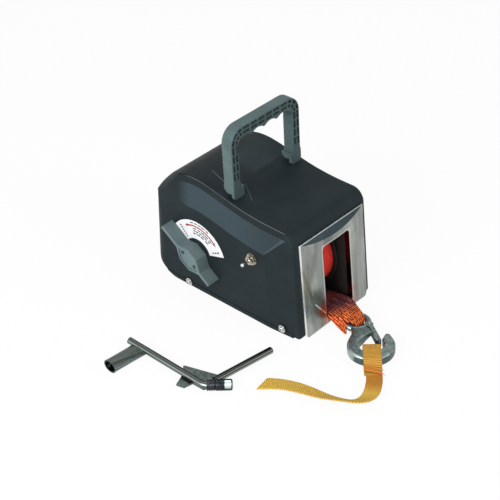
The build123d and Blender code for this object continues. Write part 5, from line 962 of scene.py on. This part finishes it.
# Pull strap
def loop_frame():
    """Fold point of the pull strap's loop, its heading and its side, in millimetres."""
    turn = math.radians(HOOK_ANGLE)
    along, across = LOOP_FOLD
    fold = Vector((
        HOOK_EYE[0] + along * math.cos(turn) - across * math.sin(turn),
        HOOK_EYE[1] + along * math.sin(turn) + across * math.cos(turn),
        0.0,
    ))
    angle = math.radians(LOOP_HEADING)
    heading = Vector((math.cos(angle), math.sin(angle), 0.0))
    return fold, heading, Vector(Z_AXIS).cross(heading)


def eased(start, end):
    """Length along and height of one layer of the loop, rising or falling smoothly between its ends."""
    places = []
    for step in range(LOOP_STEPS + 1):
        share = step / LOOP_STEPS
        length = start[0] + (end[0] - start[0]) * share
        places.append((length, start[1] + (end[1] - start[1]) * smooth_step(share)))
    return places


def loop_path():
    """Length along and height of the loop: lower layer, round the hook, upper layer to its sewn end."""
    low_z = LOOP_MIDDLE_Z - LOOP_RADIUS
    high_z = LOOP_MIDDLE_Z + LOOP_RADIUS
    path = eased(LOOP_LOWER_END, (LOOP_STRAIGHT_END, low_z))
    for angle in range(-90, -271, -10):
        turn = math.radians(angle)
        length = LOOP_RADIUS + LOOP_RADIUS * math.cos(turn)
        path.append((length, LOOP_MIDDLE_Z + LOOP_RADIUS * math.sin(turn)))
    return path + eased((LOOP_STRAIGHT_END, high_z), LOOP_UPPER_END)


def pull_loop():
    """Loop of the pull strap round the hook's bowl, with its slanted upper end."""
    fold, heading, side = loop_frame()
    path = [fold + length * heading + Vector((0.0, 0.0, z)) for length, z in loop_path()]
    runs = lengths_along(path)
    stations = []
    for middle, run in zip(path, runs):
        slant = LOOP_END_SLANT * smooth_step(1 - (runs[-1] - run) / LOOP_SLANT_LENGTH)
        stations.append(Station(middle, side, PULL_HALF_WIDTH, 0.0, slant))
    tones = (0.24, 0.10, 0.009), (0.55, 0.27, 0.034), (0.88, 0.58, 0.14)
    worn = [MM * (runs[-1] - length) for length in LOOP_WORN]
    look = yellow_webbing("pull_loop_webbing", tones, 0.0, MM * LOOP_ROW, *worn)
    mesh = strap_mesh(stations, PULL_THICKNESS)
    return add_piece("pull_strap_loop", mesh, look, "hook", "yellow_webbing", "pull_loop")


def loop_stitch():
    """Sewn bar along the slanted end of the loop's upper layer, with frayed threads at one edge."""
    fold, heading, side = loop_frame()
    length, z = LOOP_UPPER_END
    top = Vector((0.0, 0.0, z + PULL_THICKNESS))
    bar = []
    for step in range(STITCH_STEPS + 1):
        share = 2 * step / STITCH_STEPS - 1
        waver = STITCH_WAVER * math.sin(STITCH_WAVE_RATE * share)
        along = length - STITCH_INSET + LOOP_END_SLANT * share + waver
        bar.append(fold + along * heading + STITCH_REACH * share * side + top)
    made = bmesh.new()
    add_tube(made, bar, STITCH_RADIUS)
    for offset, reach, rise in FRAYS:
        start = bar[-1] + offset * heading - FRAY_INSET * side
        middle = start + 0.6 * reach * side + Vector((0.0, 0.0, FRAY_RADIUS))
        end = start + reach * side + 0.5 * reach * heading + Vector((0.0, 0.0, rise))
        add_tube(made, [start, middle, end], FRAY_RADIUS, sides=6)
    return add_piece("pull_strap_stitch", made, stitch_thread(), "hook", "yellow_webbing")


def spline_points(name, points):
    """Points along one smooth open spline whose control points are given in millimetres."""
    curve = bpy.data.curves.new(name, "CURVE")
    curve.dimensions = "3D"
    curve.resolution_u = 8
    spline = curve.splines.new("NURBS")
    spline.points.add(len(points) - 1)
    for made, point in zip(spline.points, points):
        made.co = (*(MM * Vector(point)), 1.0)
    spline.order_u = 3
    spline.use_endpoint_u = True
    holder = bpy.data.objects.new(name, curve)
    mesh = bpy.data.meshes.new_from_object(holder)
    found = [vertex.co / MM for vertex in mesh.vertices]
    bpy.data.meshes.remove(mesh)
    bpy.data.objects.remove(holder)
    bpy.data.curves.remove(curve)
    return found


def pull_tail(with_pieces):
    """Free tail of the pull strap: a flat cord that twists as it curves, cut at a slant."""
    middles = spline_points("pull_route", PULL_ROUTE)
    tilts = [place.x for place in spline_points("pull_tilt", [(tilt, 0.0, 0.0) for tilt in PULL_TILT])]
    runs = lengths_along(middles)
    stations = []
    for middle, heading, run, tilt in zip(middles, headings(middles), runs, tilts):
        flat = Vector(Z_AXIS).cross(heading).normalized()
        side = Matrix.Rotation(math.radians(tilt), 3, heading) @ flat
        slant = PULL_END_SLANT * smooth_step(1 - (runs[-1] - run) / PULL_SLANT_LENGTH)
        gather = PULL_GATHER * (1 - smooth_step(run / PULL_GATHER_LENGTH))
        stations.append(Station(middle + gather * side, side, PULL_HALF_WIDTH - gather, 0.0, slant))
    mesh = strap_mesh(stations, PULL_THICKNESS)
    tones = (0.38, 0.19, 0.018), (0.74, 0.47, 0.065), (0.95, 0.70, 0.19)
    worn = [MM * length for length in TAIL_WORN]
    look = yellow_webbing("pull_tail_webbing", tones, 0.8, MM * TAIL_ROW, *worn)
    piece = add_piece("pull_strap_tail", mesh, look, "hook", "yellow_webbing", "pull_tail")


# Print on the clutch decal
def decal_point(radius, angle):
    """Place on the decal's plane, round the knob's axis, in millimetres."""
    turn = math.radians(angle)
    return KNOB_X + radius * math.cos(turn), KNOB_Z + radius * math.sin(turn)


def add_print(made, outline, face_y):
    """Thin closed layer of ink with the given outline on the decal's face."""
    front = [made.verts.new(MM * Vector((x, face_y - PRINT_PROUD, z))) for x, z in outline]
    back = [made.verts.new(MM * Vector((x, face_y + PRINT_SINK, z))) for x, z in outline]
    caps = [made.faces.new(front), made.faces.new(back)]
    for k in range(len(outline)):
        made.faces.new((front[k - 1], front[k], back[k], back[k - 1]))
    bmesh.ops.triangulate(made, faces=caps)


def arc_bar(inner, outer, start, end):
    """Outline of a bar bent round the knob's axis."""
    steps = max(2, int((end - start) / ARC_STEP))
    angles = [start + (end - start) * k / steps for k in range(steps + 1)]
    far = [decal_point(outer, angle) for angle in angles]
    return far + [decal_point(inner, angle) for angle in reversed(angles)]


def decal_arrow(face_y):
    """Red arrow with a head at both ends, bent along the knob's travel."""
    made = bmesh.new()
    add_print(made, arc_bar(*ARROW_BAR, *ARROW_SPAN), face_y)
    low, high = ARROW_SPAN
    inner, middle, outer = ARROW_HEAD_RADII
    for base, tip in ((low, low - ARROW_HEAD_SPAN), (high, high + ARROW_HEAD_SPAN)):
        head = [decal_point(inner, base), decal_point(middle, tip), decal_point(outer, base)]
        add_print(made, head, face_y)
    ink = print_ink("decal_red_look", (0.24, 0.006, 0.015))
    add_piece("decal_arrow", made, ink, "base", "decal_film")


def decal_bars(face_y):
    """Plain dark bars in rows, ticks at one end of the decal and marks at the other."""
    made = bmesh.new()
    for radius, start, end, pitch in BAR_ROWS:
        for k in range(int((end - start) / pitch)):
            reach = pitch * (BAR_SHARE + BAR_SHARE_CHANGE * ((k * 5) % 3))
            first = start + pitch * k
            add_print(made, arc_bar(radius, radius + BAR_HEIGHT, first, first + reach), face_y)
    for k in range(TICK_COUNT):
        radius = TICK_RADIUS + TICK_PITCH * k
        add_print(made, arc_bar(radius, radius + TICK_HEIGHT, *TICK_SPAN), face_y)
    for radius in END_MARK_RADII:
        add_print(made, arc_bar(radius, radius + END_MARK_HEIGHT, *END_MARK_SPAN), face_y)
    ink = print_ink("decal_grey_look", (0.03, 0.032, 0.035))
    add_piece("decal_bars", made, ink, "base", "decal_film")


def decal_print():
    """Arrow and bars on the decal's near face."""
    face_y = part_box("clutch_decal")[0][1] / MM
    decal_arrow(face_y)
    decal_bars(face_y)


# Crank details
def add_ring(made, centre, axis, radius, thick, sides=40, round_sides=10):
    """Round ring about an axis, in millimetres."""
    rows = []
    for out in spokes(axis, sides):
        row = []
        for j in range(round_sides):
            bend = 2 * math.pi * j / round_sides
            point = centre + (radius + thick * math.cos(bend)) * out + thick * math.sin(bend) * axis
            row.append(made.verts.new(MM * point))
        rows.append(row)
    for k in range(sides):
        for j in range(round_sides):
            corners = (rows[k - 1][j - 1], rows[k - 1][j], rows[k][j], rows[k][j - 1])
            made.faces.new(corners).smooth = True


def crank_ribs():
    """Collar that carries the sleeve on towards the crank's bend, and the ribs round both."""
    sleeve = Vector((*SLEEVE_START, CRANK_Z))
    axis = (Vector((*SLEEVE_END, CRANK_Z)) - sleeve).normalized()
    start = sleeve - COLLAR_LENGTH * axis
    made = bmesh.new()
    add_tube(made, [start, sleeve], SLEEVE_RADIUS - COLLAR_SINK, sides=32)
    for k in range(RIB_COUNT):
        centre = start + (RIB_START + RIB_PITCH * k) * axis
        add_ring(made, centre, axis, SLEEVE_RADIUS - RIB_SINK, RIB_THICKNESS)
    look = metal("crank_rib_look", (0.010, 0.012, 0.015), (0.10, 0.115, 0.125), 0.3)
    add_piece("crank_sleeve_ribs", made, look, "crank", "crank_steel")


# Stage
def seen_rays(tree):
    """1 for rays seen straight, by reflection or through glass, and 0 for the rest."""
    rays = tree.nodes.new("ShaderNodeLightPath")
    seen = rays.outputs["Is Camera Ray"]
    for other in ("Is Glossy Ray", "Is Transmission Ray"):
        either = tree.nodes.new("ShaderNodeMath")
        either.operation = "MAXIMUM"
        tree.links.new(seen, either.inputs[0])
        tree.links.new(rays.outputs[other], either.inputs[1])
        seen = either.outputs[0]
    return seen


def make_floor():
    """White floor that keeps a faint shadow of the object."""
    bpy.ops.mesh.primitive_plane_add(size=FLOOR_SIZE, location=(0.0, 0.0, FLOOR_Z))
    floor = bpy.context.object
    floor.name = "floor"
    paint = Paint("floor_white", Roughness=0.9, Specular_IOR_Level=0.0, Base_Color=FLOOR_TONE)
    glow = paint.node("ShaderNodeEmission", Strength=1.0, Color=WHITE)
    blend = paint.tree.nodes.new("ShaderNodeMixShader")
    paint.feed(blend.inputs[0], paint.product(seen_rays(paint.tree), FLOOR_GLOW_SHARE))
    paint.feed(blend.inputs[1], paint.shader.outputs[0])
    paint.feed(blend.inputs[2], glow.outputs[0])
    paint.feed(paint.tree.nodes["Material Output"].inputs["Surface"], blend.outputs[0])
    floor.data.materials.append(paint.material)


def make_world():
    """White for the camera and for reflections, and a softer light on the object."""
    world = bpy.data.worlds.new("world")
    scene.world = world
    world.use_nodes = True
    tree = world.node_tree
    back = tree.nodes["Background"]
    strength = tree.nodes.new("ShaderNodeMapRange")
    tree.links.new(seen_rays(tree), strength.inputs["Value"])
    strength.inputs["To Min"].default_value = WORLD_LIGHT
    tree.links.new(strength.outputs[0], back.inputs["Strength"])
    back.inputs["Color"].default_value = WHITE


make_camera()
make_floor()
make_world()
for lamp_name, lamp in LAMPS.items():
    area_light(lamp_name, *lamp)
dress_plastics()
dress_metals()
wind_strap()
lead_tongue()
lead_flap()
pull_tail([pull_loop(), loop_stitch()])
decal_print()
crank_ribs()
